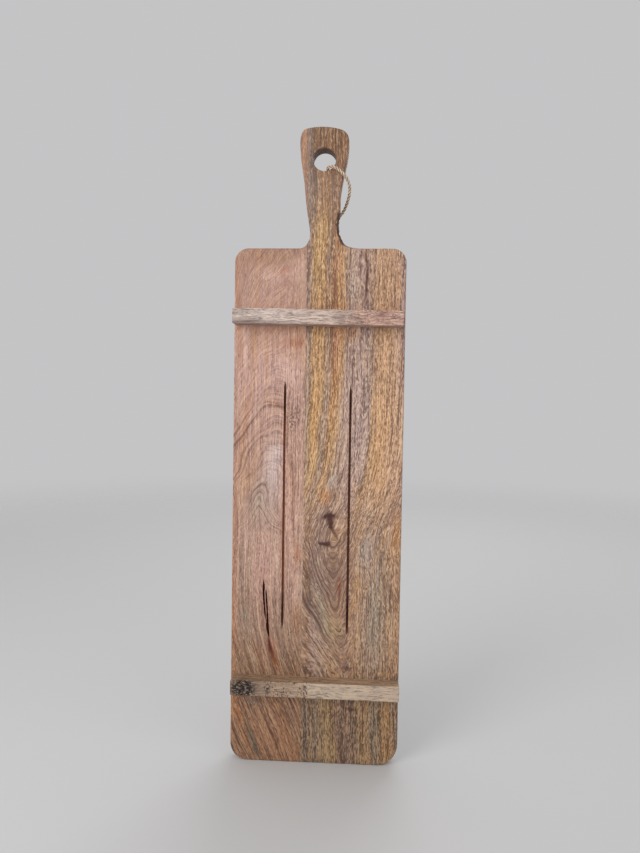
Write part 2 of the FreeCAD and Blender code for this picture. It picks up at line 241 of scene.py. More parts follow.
class Slab:
    """A flat piece of wood with eased edges, cuts in its face and perhaps a round hole."""

    def __init__(self, loop, front, back, front_round, back_round, grid):
        self.loop = loop
        self.normals = outward(loop)
        self.front = front
        self.back = back
        self.front_round = front_round
        self.back_round = back_round
        self.grid = grid
        self.verts = []
        self.faces = []
        self.holes = []
        self.slits = []

    def add_verts(self, points, y):
        """New vertices at points (x, z), at one depth or a depth each. Returns their numbers."""
        depths = np.broadcast_to(y, len(points))
        start = len(self.verts)
        self.verts += [(p[0], d, p[1]) for p, d in zip(points, depths)]
        return list(range(start, len(self.verts)))

    def bridge(self, one, other):
        """Quads between two closed rings of vertices."""
        for a, b, c, d in zip(one, one[1:] + one[:1], other[1:] + other[:1], other):
            self.faces.append((a, b, c, d))

    def eased_rings(self, loop, normals, rounding, y, inward, steps=5):
        """Rings over a rounded edge, from the flat face to the side. inward is +1 at the front."""
        rings = []
        for step in range(steps + 1):
            angle = step / steps * math.pi / 2
            inset = rounding * (1 - math.sin(angle))
            depth = rounding * (1 - math.cos(angle))
            rings.append(self.add_verts(loop - normals * inset[:, None], y + inward * depth))
        return rings

    def add_walls(self, loop, normals, front_round, back_round, side_step=2.2 * MM):
        """The sides of an outline or a hole, with both edges eased. Returns the rings in the two faces."""
        wear = np.array([1 + 0.22 * bumps(p[0] / 0.012, 0, p[1] / 0.012) for p in loop])
        front = self.eased_rings(loop, normals, front_round * wear, self.front, 1)
        back = self.eased_rings(loop, normals, back_round * wear, self.back, -1)
        depth = self.back - self.front - front_round - back_round
        count = max(1, round(depth / side_step))
        middles = []
        for step in range(1, count):
            share = step / count
            near = self.front + front_round * wear
            far = self.back - back_round * wear
            middles.append(self.add_verts(loop, near * (1 - share) + far * share))
        rings = front + middles + back[::-1]
        for one, other in zip(rings, rings[1:]):
            self.bridge(one, other)
        return rings[0], rings[-1]

    def add_strip(self, one, other, first_tip, last_tip):
        """Quads between two open rows of vertices, closed with a triangle at each tip."""
        for a, b, c, d in zip(one, one[1:], other[1:], other):
            self.faces.append((a, b, c, d))
        self.faces.append((first_tip, one[0], other[0]))
        self.faces.append((last_tip, other[-1], one[-1]))

    def add_slit(self, slit):
        """The walls and floor of a cut. Returns its ring in the face."""
        ring = self.add_verts(slit.loop(), self.front)
        count = len(slit.inner)
        sides = (ring[1 : count + 1], list(reversed(ring[count + 2 :])))
        first_tip, last_tip = ring[0], ring[count + 1]
        bottoms = []
        for side, surface in zip((-1, 1), sides):
            rows = [surface]
            for row in range(1, slit.rows + 1):
                share = row / slit.rows
                narrowing = 1 - (1 - slit.floor_share) * share
                depths = self.front + np.array([depth for _, _, depth in slit.inner]) * share
                rows.append(self.add_verts(slit.side(side, narrowing), depths))
            for one, other in zip(rows, rows[1:]):
                self.add_strip(one, other, first_tip, last_tip)
            bottoms.append(rows[-1])
        self.add_strip(*bottoms, first_tip, last_tip)
        return ring

    def add_cap(self, outer, gaps, y):
        """A flat face inside the outer ring and round the gaps, over an even net of points."""
        rings = [outer] + gaps
        numbers = [number for ring in rings for number in ring]
        outlines = [np.array([(self.verts[n][0], self.verts[n][2]) for n in ring]) for ring in rings]
        points = np.vstack(outlines)
        edges = []
        start = 0
        for ring in rings:
            count = len(ring)
            edges += [(start + i, start + (i + 1) % count) for i in range(count)]
            start += count
        net = self.net_points(outlines)
        numbers += self.add_verts(net, y)
        flat = [Vector(p) for p in np.vstack([points, net])]
        placed, _, triangles, origins, _, _ = delaunay_2d_cdt(flat, edges, [], 0, TINY)
        corner_numbers = [numbers[origin[0]] if origin else None for origin in origins]
        middles = np.array([sum((placed[i] for i in t), Vector((0, 0))) / 3 for t in triangles])
        keep = inside(middles, outlines[0])
        for outline in outlines[1:]:
            keep &= ~inside(middles, outline)
        for triangle, wanted in zip(triangles, keep):
            corners = [corner_numbers[i] for i in triangle]
            if wanted and None not in corners:
                self.faces.append(tuple(corners))

    def net_points(self, outlines):
        """A staggered net of points over a face, kept a little off every outline."""
        lowest, highest = outlines[0].min(axis=0), outlines[0].max(axis=0)
        rows = np.arange(lowest[1], highest[1], self.grid * NET_ROW_SPACING)
        columns = np.arange(lowest[0], highest[0], self.grid)
        points = np.array([(x + (r % 2) * self.grid / 2, z) for r, z in enumerate(rows) for x in columns])
        keep = inside(points, outlines[0])
        for outline in outlines:
            keep &= distance_to_loop(points, outline) > NET_CLEARANCE * self.grid
        for outline in outlines[1:]:
            keep &= ~inside(points, outline)
        return points[keep]

    def build(self, name, edit=None):
        """The finished closed mesh. edit may move each vertex."""
        front, back = self.add_walls(self.loop, self.normals, self.front_round, self.back_round)
        front_gaps, back_gaps = [], []
        for loop, rounding in self.holes:
            near, far = self.add_walls(loop, -outward(loop), rounding, rounding)
            front_gaps.append(near)
            back_gaps.append(far)
        front_gaps += [self.add_slit(slit) for slit in self.slits]
        self.add_cap(front, front_gaps, self.front)
        self.add_cap(back, back_gaps, self.back)
        if edit:
            self.verts = [edit(Vector(v)) for v in self.verts]
        return add_object(name, self.verts, self.faces)


# ---- camera

CAMERA_PLACE = (0.0392, -0.7015, 0.4019)
CAMERA_LENS = 27.05
CAMERA_SENSOR = 36
# Upright, yaw, pitch and roll, in degrees.
CAMERA_TURNS = (("X", 90), ("Y", 3.0), ("X", -2.06), ("Z", 0.85))


def add_camera():
    """A phone camera a little to the right of the board, level with its middle."""
    data = bpy.data.cameras.new("camera")
    data.sensor_width = CAMERA_SENSOR
    data.lens = CAMERA_LENS
    pose = Matrix.Translation(CAMERA_PLACE)
    for axis, degrees in CAMERA_TURNS:
        pose = pose @ Matrix.Rotation(math.radians(degrees), 4, axis)
    camera = link("camera", data)
    camera.matrix_world = pose
    bpy.context.scene.camera = camera


# ---- twine

TWINE_ROUTE = [
    (0.0030, 0.0238, 0.5920),
    (0.0030, 0.0238, 0.6015),
    (0.0012, 0.0224, 0.6190),
    (0.0024, 0.0228, 0.6380),
    (0.0044, 0.0238, 0.6500),
    (0.0056, 0.0204, 0.6586),
    (0.0064, 0.0090, 0.6572),
    (0.0070, -0.0030, 0.6566),
    (0.0128, -0.0062, 0.6560),
    (0.0216, -0.0056, 0.6506),
    (0.0286, -0.0014, 0.6436),
    (0.0314, 0.0072, 0.6352),
    (0.0286, 0.0164, 0.6246),
    (0.0228, 0.0244, 0.6136),
    (0.0126, 0.0248, 0.6064),
    (0.0070, 0.0238, 0.6000),
    (0.0070, 0.0238, 0.5920),
]
PLIES = 3
PLY_RADIUS = 0.86 * MM
PLY_OFFSET = 0.85 * MM
PLY_SIDES = 10
PLY_STEP = 0.45 * MM
TWIST_LENGTH = 12 * MM
SPLAY_FROM = 0.6
FIBRE_SHARES = np.linspace(0, 1, 6)


def smooth_line(points, name):
    """Closely spaced points on the smooth NURBS curve that has points as its control points."""
    data = bpy.data.curves.new(name, "CURVE")
    data.dimensions = "3D"
    data.resolution_u = 24
    spline = data.splines.new("NURBS")
    spline.points.add(len(points) - 1)
    for control, point in zip(spline.points, points):
        control.co = (*point, 1)
    spline.order_u = 3
    spline.use_endpoint_u = True
    obj = link(name, data)
    mesh = bpy.data.meshes.new_from_object(obj)
    line = np.array([tuple(vertex.co) for vertex in mesh.vertices])
    bpy.data.objects.remove(obj)
    bpy.data.meshes.remove(mesh)
    return line


def line_length(line):
    """The length of an open line."""
    return float(np.linalg.norm(np.diff(line, axis=0), axis=1).sum())


def even_line(line, step):
    """An open line redrawn with evenly spaced points."""
    along = travelled(line)
    places = np.linspace(0, along[-1], max(4, round(along[-1] / step)))
    return np.stack([np.interp(places, along, line[:, axis]) for axis in range(3)], axis=1)


def travelling_frames(line):
    """Two directions across the line at each point, carried along it without twisting."""
    tangents = unit(np.gradient(line, axis=0))
    side = np.cross(tangents[0], (0.3, 0.5, 0.81))
    sides = []
    for tangent in tangents:
        side = unit(side - tangent * np.dot(side, tangent))
        sides.append(side)
    sides = np.array(sides)
    return sides, np.cross(tangents, sides)


class Tubes:
    """Several tubes in one mesh, with a UV map that runs round and along each."""

    def __init__(self):
        self.verts = []
        self.faces = []
        self.uvs = []

    def add(self, line, radii, sides, outward=None):
        """A closed tube along a line, with a radius at each point. Its UV seam faces outward."""
        one, other = travelling_frames(line)
        if outward is not None:
            tangents = np.cross(one, other)
            one = unit(outward - tangents * (outward * tangents).sum(axis=1)[:, None])
            other = np.cross(tangents, one)
        start = len(self.verts)
        for centre, a, b, radius in zip(line, one, other, radii):
            for step in range(sides):
                angle = 2 * math.pi * step / sides
                self.verts.append(centre + radius * (math.cos(angle) * a + math.sin(angle) * b))
        length = line_length(line)
        count = len(line)
        for ring in range(count - 1):
            for step in range(sides):
                after = (step + 1) % sides
                base = start + ring * sides
                self.faces.append((base + step, base + after, base + sides + after, base + sides + step))
                v = [length * ring / count, length * (ring + 1) / count]
                u = [step / sides, (step + 1) / sides]
                self.uvs += [(u[0], v[0]), (u[1], v[0]), (u[1], v[1]), (u[0], v[1])]
        for ring in (0, count - 1):
            cap = [start + ring * sides + step for step in range(sides)]
            self.faces.append(tuple(cap if ring else reversed(cap)))
            self.uvs += [(0.5, 0)] * sides

    def add_twisted(self, line, turn=0.0, opened=0.0):
        """Plies twisted round a line. opened is how far they splay at the far end."""
        line = even_line(line, PLY_STEP)
        one, other = travelling_frames(line)
        length = line_length(line)
        along = np.linspace(0, length, len(line))
        for ply in range(PLIES):
            angle = 2 * math.pi * (along / TWIST_LENGTH + ply / PLIES) + turn
            loose = np.clip((along / length - SPLAY_FROM) / (1 - SPLAY_FROM), 0, 1)
            splay = 1 + opened * loose ** 2
            offset = PLY_OFFSET * splay
            outward = np.cos(angle)[:, None] * one + np.sin(angle)[:, None] * other
            centre = line + offset[:, None] * outward
            swell = [1 + 0.10 * bumps(s / 0.004, ply * 5.3, turn) for s in along]
            self.add(centre, PLY_RADIUS * np.array(swell), PLY_SIDES, outward)

    def add_fibre(self, start, way, bend, reach, radii, sides):
        """A loose fibre that sets out one way and bends aside. Its two radii are in millimetres."""
        line = np.array([start + way * reach * s + bend * reach * s * s for s in FIBRE_SHARES])
        self.add(line, np.linspace(*radii, len(line)) * MM, sides)

    def finish(self, name):
        """The mesh object of all the tubes."""
        mesh = bpy.data.meshes.new(name)
        mesh.from_pydata([tuple(v) for v in self.verts], [], self.faces)
        layer = mesh.uv_layers.new(name="along")
        layer.data.foreach_set("uv", np.array(self.uvs, np.float32).ravel())
        for polygon in mesh.polygons:
            polygon.use_smooth = True
        return link(name, mesh)


def knot_wrap(centre):
    """The line of the turns that the knot takes round its own strands."""
    turns, steps = 2.15, 90
    across, depth, height, tilt = 4.1 * MM, 3.5 * MM, 5.4 * MM, 0.7 * MM
    first_angle = 0.6
    ends = 0.06
    line = []
    for step in range(steps + 1):
        share = step / steps
        angle = 2 * math.pi * turns * share + first_angle
        tuck = 1 - 0.55 * (max(0, ends - share) + max(0, share - (1 - ends))) / ends
        place = (
            across * tuck * math.cos(angle),
            depth * tuck * math.sin(angle),
            (share - 0.5) * height + tilt * math.sin(angle),
        )
        line.append(centre + np.array(place))
    return np.array(line)


def scatter(spread):
    """A random vector, about as long as spread."""
    return np.array([draw.gauss(0, spread) for _ in range(3)])


def fray(tubes, end, heading, count, length):
    """Loose fibres that fan out of the end of a tail."""
    for _ in range(count):
        way = unit(heading + scatter(0.30))
        bend = scatter(0.25)
        reach = length * draw.uniform(0.5, 1)
        start = end + scatter(0.45 * MM)
        tubes.add_fibre(start, way, bend, reach, (0.13, 0.05), 4)


def add_knot():
    """The knot behind the board that closes the loop, with its two frayed tails."""
    top_left, top_right = Vector(TWINE_ROUTE[0]), Vector(TWINE_ROUTE[-1])
    middle = (top_left + top_right) / 2
    knot_height = high("twine_knot").z - low("twine_knot").z
    knot = Tubes()
    for top, side, share in ((top_right, -1, 1.0), (top_left, 1, 0.84)):
        across = top.x - middle.x
        down = knot_height * share
        route = [
            (top.x, top.y, top.z),
            (top.x, top.y, top.z - 0.3 * down),
            (middle.x + 0.9 * across, top.y, top.z - 0.55 * down),
            (middle.x + 1.1 * across, top.y - 0.6 * MM * side, top.z - 0.8 * down),
            (middle.x + 1.5 * across, top.y + 0.8 * MM * side, top.z - 0.93 * down),
        ]
        tail = smooth_line(route, "tail_route")
        knot.add_twisted(tail, turn=1.3 * side, opened=0.35)
        fray(knot, tail[-1], unit(tail[-1] - tail[-4]), 22, 1.8 * MM)
    wrap = knot_wrap(np.array((middle.x, middle.y, middle.z - 4.4 * MM)))
    knot.add_twisted(wrap, turn=0.4)
    return knot.finish("twine_knot_tied")


def add_fibres(line):
    """The fibres that stand off the loop."""
    fuzz = Tubes()
    spots = even_line(line, 1.4 * MM)
    one, other = travelling_frames(spots)
    tangents = unit(np.gradient(spots, axis=0))
    for centre, a, b, tangent in zip(spots[2:-2], one[2:-2], other[2:-2], tangents[2:-2]):
        angle = draw.uniform(0, 2 * math.pi)
        out = math.cos(angle) * a + math.sin(angle) * b
        along = tangent * draw.choice((-1, 1))
        start = centre + out * 1.35 * MM
        reach = draw.uniform(0.8, 2.6) * MM
        lift = draw.uniform(0.15, 0.55)
        fuzz.add_fibre(start, along, out * lift, reach, (0.07, 0.03), 3)
    return fuzz.finish("twine_fibres")


def add_twine():
    """The loop of twine with its knot and fibres."""
    line = smooth_line(TWINE_ROUTE, "twine_route")
    loop = Tubes()
    loop.add_twisted(line)
    twine = loop.finish("twine_loop")
    knot = add_knot()
    fuzz = add_fibres(line)
    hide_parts("hanging_twine")
    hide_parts("twine_knot")
    for piece in (twine, knot, fuzz):
        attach(piece, ROOT)
    return [twine, knot, fuzz]


# ---- wooden pieces

def kerf(middle_x, bottom, top, width=2.7 * MM, depth=8 * MM, blade=90 * MM):
    """A blind kerf cut by a round blade, so it rises to the face at both ends."""
    run_out = math.sqrt(blade**2 - (blade - depth) ** 2)
    count = 150
    stations = []
    for step in range(count + 1):
        z = bottom + (top - bottom) * step / count
        short = run_out - min(z - bottom, top - z)
        cut = depth if short < 0 else math.sqrt(blade**2 - short**2) - (blade - depth)
        taper = min(1, 0.25 + min(z - bottom, top - z) / (11 * MM))
        rough = 0.10 * MM * bumps(middle_x * 90, 1.7, z / 0.004)
        wander = 0.12 * MM * bumps(middle_x * 70, 9.1, z / 0.060)
        stations.append(((middle_x + wander, z), width / 2 * taper + rough, max(cut, 0.05 * MM)))
    return Slit(stations, rows=4, floor_share=0.92)


def crack(route, depth):
    """A jagged crack along a route of (x, z, half width), in millimetres."""
    places = even_line(np.array([(x, half, z) for x, z, half in route]) * MM, 0.7 * MM)
    stations = []
    for x, half, z in places:
        jag = bumps(route[0][0] * 0.3, 2.2, z / 0.0022)
        shift = 0.14 * MM * bumps(4.4, route[0][0] * 0.3, z / 0.006)
        openness = min(1, half / (0.6 * MM))
        wide = max(0.06 * MM, half * (1 + 0.25 * jag))
        stations.append(((x + shift * openness, z), wide, depth * max(0.05, openness)))
    return Slit(stations, rows=3, floor_share=0.35)


# Stations (x, z, half width) in millimetres of the drying crack and of the split beside it.
CRACK_ROUTE = [
    (-51.0, 140.0, 0.05), (-51.6, 144, 1.0), (-52.6, 150, 1.6), (-53.1, 156, 1.65), (-53.0, 161, 1.05),
    (-53.3, 170, 0.9), (-54.0, 180, 0.95), (-54.8, 190, 0.75), (-55.5, 194.5, 0.05),
]
SPLIT_ROUTE = [
    (-55.1, 160, 0.05), (-55.7, 166, 0.85), (-56.5, 174, 1.0), (-57.3, 183, 1.05), (-57.7, 190, 1.15),
    (-57.5, 196, 1.4), (-57.6, 200, 1.0), (-58.1, 206, 0.05),
]
LEFT_KERF_X = -36.5 * MM
RIGHT_KERF_X = 35.5 * MM
NECK_Z = 590 * MM


def board_edit(vertex):
    """The small unevenness of the board: planed faces, and bark and chips at the right of the neck."""
    planed_depth, chipped_depth = 3 * MM, 5 * MM
    depth = vertex.y - FACE_Y
    thickness = BACK_Y - FACE_Y
    swing = relief(vertex.x, vertex.z)
    if depth < thickness / 2:
        vertex.y += swing * max(0, 1 - depth / planed_depth)
    else:
        vertex.y -= swing * max(0, 1 - (thickness - depth) / planed_depth)
    bite = bark_mask(vertex)
    if bite > 0:
        rough = bumps(vertex.y / 0.0035, 5.0, vertex.z / 0.0032)
        coarse = bumps(vertex.y / 0.009, 11.0, vertex.z / 0.010)
        vertex.x -= bite * (1.5 + 0.9 * coarse + 1.1 * rough) * MM
        vertex.y += bite * max(0, 1 - depth / chipped_depth) * (0.9 + 0.8 * rough) * MM
    return vertex


def bark_mask(vertex):
    """From 0 to 1, how much a point lies in the bark pocket on the right edge of the neck."""
    left_x, right_x = 17.5 * MM, 32 * MM
    foot_z, top_z = 579 * MM, 608 * MM
    if not left_x < vertex.x < right_x:
        return 0
    from_foot = (vertex.z - foot_z) / (5 * MM)
    from_top = (top_z - vertex.z) / (4 * MM)
    from_side = (vertex.x - left_x) / (2.5 * MM)
    return max(0, min(1, from_foot, from_top, from_side))


def cut_part(source, name, planes):
    """A closed part of a mesh: what lies behind every plane (point, normal)."""
    work = bmesh.new()
    work.from_mesh(source.data)
    for point, normal in planes:
        geometry = work.verts[:] + work.edges[:] + work.faces[:]
        cut = bmesh.ops.bisect_plane(
            work, geom=geometry, plane_co=point, plane_no=normal, clear_outer=True
        )
        edges = [e for e in cut["geom_cut"] if isinstance(e, bmesh.types.BMEdge)]
        bmesh.ops.triangle_fill(work, use_beauty=True, use_dissolve=False, edges=edges)
    mesh = bpy.data.meshes.new(name)
    work.to_mesh(mesh)
    work.free()
    obj = link(name, mesh)
    shade(obj)
    return obj


def add_board():
    """Both planks and the handle's cheek, cut apart at the glue line from one outline."""
    y = (FACE_Y + BACK_Y) / 2
    segments = []
    for node in ("left_plank", "handle_cheek", "right_plank"):
        for a, b in section_segments(node, y):
            if not (is_glue_joint(a) and is_glue_joint(b)):
                segments.append([a, b])
    outer, hole = [even_loop(loop, 1.1 * MM) for loop in chained_loops(segments)[:2]]
    slab = Slab(outer, FACE_Y, BACK_Y, 2 * MM, 2 * MM, grid=4 * MM)
    slab.holes = [(hole, 1 * MM)]
    slab.slits = [
        kerf(LEFT_KERF_X, 150.5 * MM, 427 * MM),
        kerf(RIGHT_KERF_X, 145 * MM, 422.5 * MM),
        crack(CRACK_ROUTE, 4 * MM),
        crack(SPLIT_ROUTE, 4 * MM),
    ]
    whole = slab.build("whole_board", board_edit)
    glue = (GLUE_X, 0, 0)
    neck = (0, 0, NECK_Z)
    pieces = [
        cut_part(whole, "left_plank_wood", [(glue, (1, 0, 0)), (neck, (0, 0, 1))]),
        cut_part(whole, "handle_cheek_wood", [(glue, (1, 0, 0)), (neck, (0, 0, -1))]),
        cut_part(whole, "right_plank_wood", [(glue, (-1, 0, 0))]),
    ]
    bpy.data.objects.remove(whole)
    for piece, node, slot in zip(
        pieces,
        ("left_plank", "handle_cheek", "right_plank"),
        ("pink_wood", "pink_wood", "golden_wood"),
    ):
        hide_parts(node)
        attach(piece, ROOT)
    return pieces


def add_bar(node, seed, tilt_degrees):
    """A square sawn bar with worn edges, laid across the board's face a little out of level."""
    lowest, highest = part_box(node)
    wide, tall = highest.x - lowest.x, highest.z - lowest.z
    tilt = math.radians(tilt_degrees)
    lean, level = math.sin(tilt), math.cos(tilt)
    half_length = (wide * level - tall * lean) / math.cos(2 * tilt) / 2
    half_width = (tall * level - wide * lean) / math.cos(2 * tilt) / 2
    middle = Vector(((lowest.x + highest.x) / 2, (lowest.z + highest.z) / 2))
    corners = []
    for right, up in ((-1, -1), (1, -1), (1, 1), (-1, 1)):
        x, z = right * half_length, up * half_width
        corners.append(middle + Vector((x * level + z * lean, z * level - x * lean)))
    loop = even_loop(corners, 0.9 * MM)
    slab = Slab(loop, lowest.y, highest.y, 0.9 * MM, 0.25 * MM, grid=3 * MM)

    def edit(vertex):
        """Sawn unevenness, which leaves the glued side flat."""
        coarse = bumps(vertex.x / 0.016, vertex.y / 0.010 + seed, vertex.z / 0.010)
        fine = bumps(vertex.x / 0.005, vertex.y / 0.003 + seed, vertex.z / 0.003)
        swing = 0.14 * coarse + 0.07 * fine
        if vertex.y < highest.y - 1 * MM:
            vertex.y += swing * MM
        up = vertex.z - middle.y + (vertex.x - middle.x) * lean
        vertex.z += swing * MM * (1 if up > 0 else -1)
        return vertex

    bar = slab.build(f"{node}_wood", edit)
    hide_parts(node)
    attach(bar, ROOT)
    return bar


# ---- stage

SKY_COLOUR = (0.60, 0.60, 0.61, 1)
SKY_STRENGTH = 0.92
FLOOR_COLOUR = (0.66, 0.66, 0.66, 1)
FLOOR_ROUGHNESS = 0.7
FLOOR_HALF_SIZE = 6.0
FLOOR_FADES_FROM = 0.5
FLOOR_FADES_TO = 3.2
# Each lamp's name, place, target, size, power and colour.
LAMPS = (
    ("key", (-0.95, -1.15, 0.85), (0, 0, 0.42), (0.8, 0.8), 10.5, (1.0, 0.985, 0.96)),
    ("fill", (1.4, -1.1, 0.8), (0, 0, 0.35), (1.4, 1.4), 3, (0.95, 0.97, 1.0)),
    ("rim", (0.4, 1.5, 1.6), (0, 0, 0.4), (1.4, 1.0), 9, (1, 1, 1)),
)


def add_lamp(name, place, target, size, power, colour):
    """A soft rectangular lamp that shines at a target."""
    data = bpy.data.lights.new(name, "AREA")
    data.shape = "RECTANGLE"
    data.size, data.size_y = size
    data.energy = power
    data.color = colour
    lamp = link(name, data)
    lamp.location = place
    lamp.rotation_euler = (Vector(target) - Vector(place)).to_track_quat("-Z", "Y").to_euler()


def add_stage():
    """A pale floor, a pale sky of light and soft lamps."""
    world = bpy.data.worlds.new("studio")
    world.use_nodes = True
    sky = world.node_tree.nodes["Background"]
    sky.inputs["Color"].default_value = SKY_COLOUR
    sky.inputs["Strength"].default_value = SKY_STRENGTH
    bpy.context.scene.world = world
    bpy.context.scene.view_settings.view_transform = "Standard"
    half = FLOOR_HALF_SIZE
    corners = [(-half, -half, 0), (half, -half, 0), (half, half, 0), (-half, half, 0)]
    floor = add_object("floor", corners, [(0, 1, 2, 3)])
    floor.data.materials.append(floor_material())
    for lamp in LAMPS:
        add_lamp(*lamp)


def floor_material():
    """A pale floor that fades into the sky of light a few metres out."""
    material = bpy.data.materials.new("pale_floor")
    material.use_nodes = True
    nodes = Nodes(material.node_tree)
    shader = nodes.tree.nodes["Principled BSDF"]
    shader.inputs["Base Color"].default_value = FLOOR_COLOUR
    shader.inputs["Roughness"].default_value = FLOOR_ROUGHNESS
    place = nodes.node("ShaderNodeTexCoord")
    far = nodes.node("ShaderNodeVectorMath", operation="LENGTH")
    fade = nodes.node("ShaderNodeMapRange", interpolation_type="SMOOTHERSTEP")
    fade.inputs["From Min"].default_value = FLOOR_FADES_FROM
    fade.inputs["From Max"].default_value = FLOOR_FADES_TO
    clear = nodes.node("ShaderNodeBsdfTransparent")
    mix = nodes.node("ShaderNodeMixShader")
    for output, socket in (
        (place.outputs["Object"], far.inputs[0]),
        (far.outputs["Value"], fade.inputs["Value"]),
        (fade.outputs[0], mix.inputs[0]),
        (shader.outputs[0], mix.inputs[1]),
        (clear.outputs[0], mix.inputs[2]),
        (mix.outputs[0], nodes.tree.nodes["Material Output"].inputs["Surface"]),
    ):
        nodes.tree.links.new(output, socket)
    return material


# ---- node graphs

LIGHT_LEVEL = 0.80
BRIGHTEST_PAINT = 0.95
SHINE = 0.35
STRONGEST_SHADE = 0.85


def tone(red, green, blue):
    """The paint colour that looks like this 0-255 colour on the lit front of the board."""
    levels = [value / 255 for value in (red, green, blue)]
    linear = [v / 12.92 if v <= 0.04045 else ((v + 0.055) / 1.055) ** 2.4 for v in levels]
    return tuple(min(BRIGHTEST_PAINT, v / LIGHT_LEVEL) for v in linear)


def tones(*stops):
    """The stops of a ramp, from rows of (place, red, green, blue)."""
    return [(place, tone(*colour)) for place, *colour in stops]


# Wood at its palest and darkest: its tones at the foot and further up, and how it tints a colour.
PALE_WOOD = (tone(176, 150, 118), tone(226, 200, 172), 0.55, (1.42, 1.38, 1.30))
DARK_WOOD = (tone(62, 48, 42), tone(92, 66, 56), 0.35, (0.46, 0.42, 0.40))


class Term:
    """A number or colour in a node graph. Numbers take part in sums and products."""

    def __init__(self, graph, socket):
        self.graph = graph
        self.socket = socket

    def __add__(self, other):
        return self.graph.math("ADD", self, other)

    def __sub__(self, other):
        return self.graph.math("SUBTRACT", self, other)

    def __rsub__(self, other):
        return self.graph.math("SUBTRACT", other, self)

    def __mul__(self, other):
        return self.graph.math("MULTIPLY", self, other)

    def __truediv__(self, other):
        return self.graph.math("DIVIDE", self, other)

    def magnitude(self):
        """The number without its sign."""
        return self.graph.math("ABSOLUTE", self)

    def clamp(self, low, high):
        """The number held between two limits."""
        return self.graph.math("MINIMUM", self.graph.math("MAXIMUM", self, low), high)

    def smooth(self, low, high):
        """0 below low, 1 above high, and a smooth rise between. low may be above high."""
        node = self.graph.node("ShaderNodeMapRange", interpolation_type="SMOOTHSTEP")
        spread = (low, high, 0, 1) if low < high else (high, low, 1, 0)
        for socket, number in zip(node.inputs, (self, *spread)):
            self.graph.feed(socket, number)
        return Term(self.graph, node.outputs[0])

    def band(self, start, full, falling, end):
        """1 from full to falling, and a smooth fade to 0 at start and at end."""
        return self.smooth(start, full) * self.smooth(end, falling)

    def curve(self, points):
        """A smooth curve through (number, result) points, level beyond both ends."""
        places, heights = zip(*points)
        low, span = min(heights), max(heights) - min(heights)
        share = (self - places[0]) / (places[-1] - places[0])
        node = self.graph.node("ShaderNodeFloatCurve")
        line = node.mapping.curves[0]
        while len(line.points) < len(points):
            line.points.new(0.5, 0.5)
        for point, place, height in zip(line.points, places, heights):
            point.location = ((place - places[0]) / (places[-1] - places[0]), (height - low) / span)
        node.mapping.update()
        self.graph.feed(node.inputs["Value"], share.clamp(0, 1))
        return Term(self.graph, node.outputs[0]) * span + low


class Nodes:
    """A tree of nodes that is built up from terms."""

    def __init__(self, tree):
        self.tree = tree

    def node(self, kind, **settings):
        """A new node with these settings."""
        node = self.tree.nodes.new(kind)
        for name, value in settings.items():
            setattr(node, name, value)
        return node

    def feed(self, socket, value):
        """Links a term to a socket, or sets a plain number or colour on it."""
        if isinstance(value, Term):
            self.tree.links.new(value.socket, socket)
        elif isinstance(value, tuple) and len(value) == 3 and len(socket.default_value) == 4:
            socket.default_value = (*value, 1)
        else:
            socket.default_value = value

    def math(self, operation, *values):
        """One operation of the maths node."""
        node = self.node("ShaderNodeMath", operation=operation)
        for socket, value in zip(node.inputs, values):
            self.feed(socket, value)
        return Term(self, node.outputs[0])


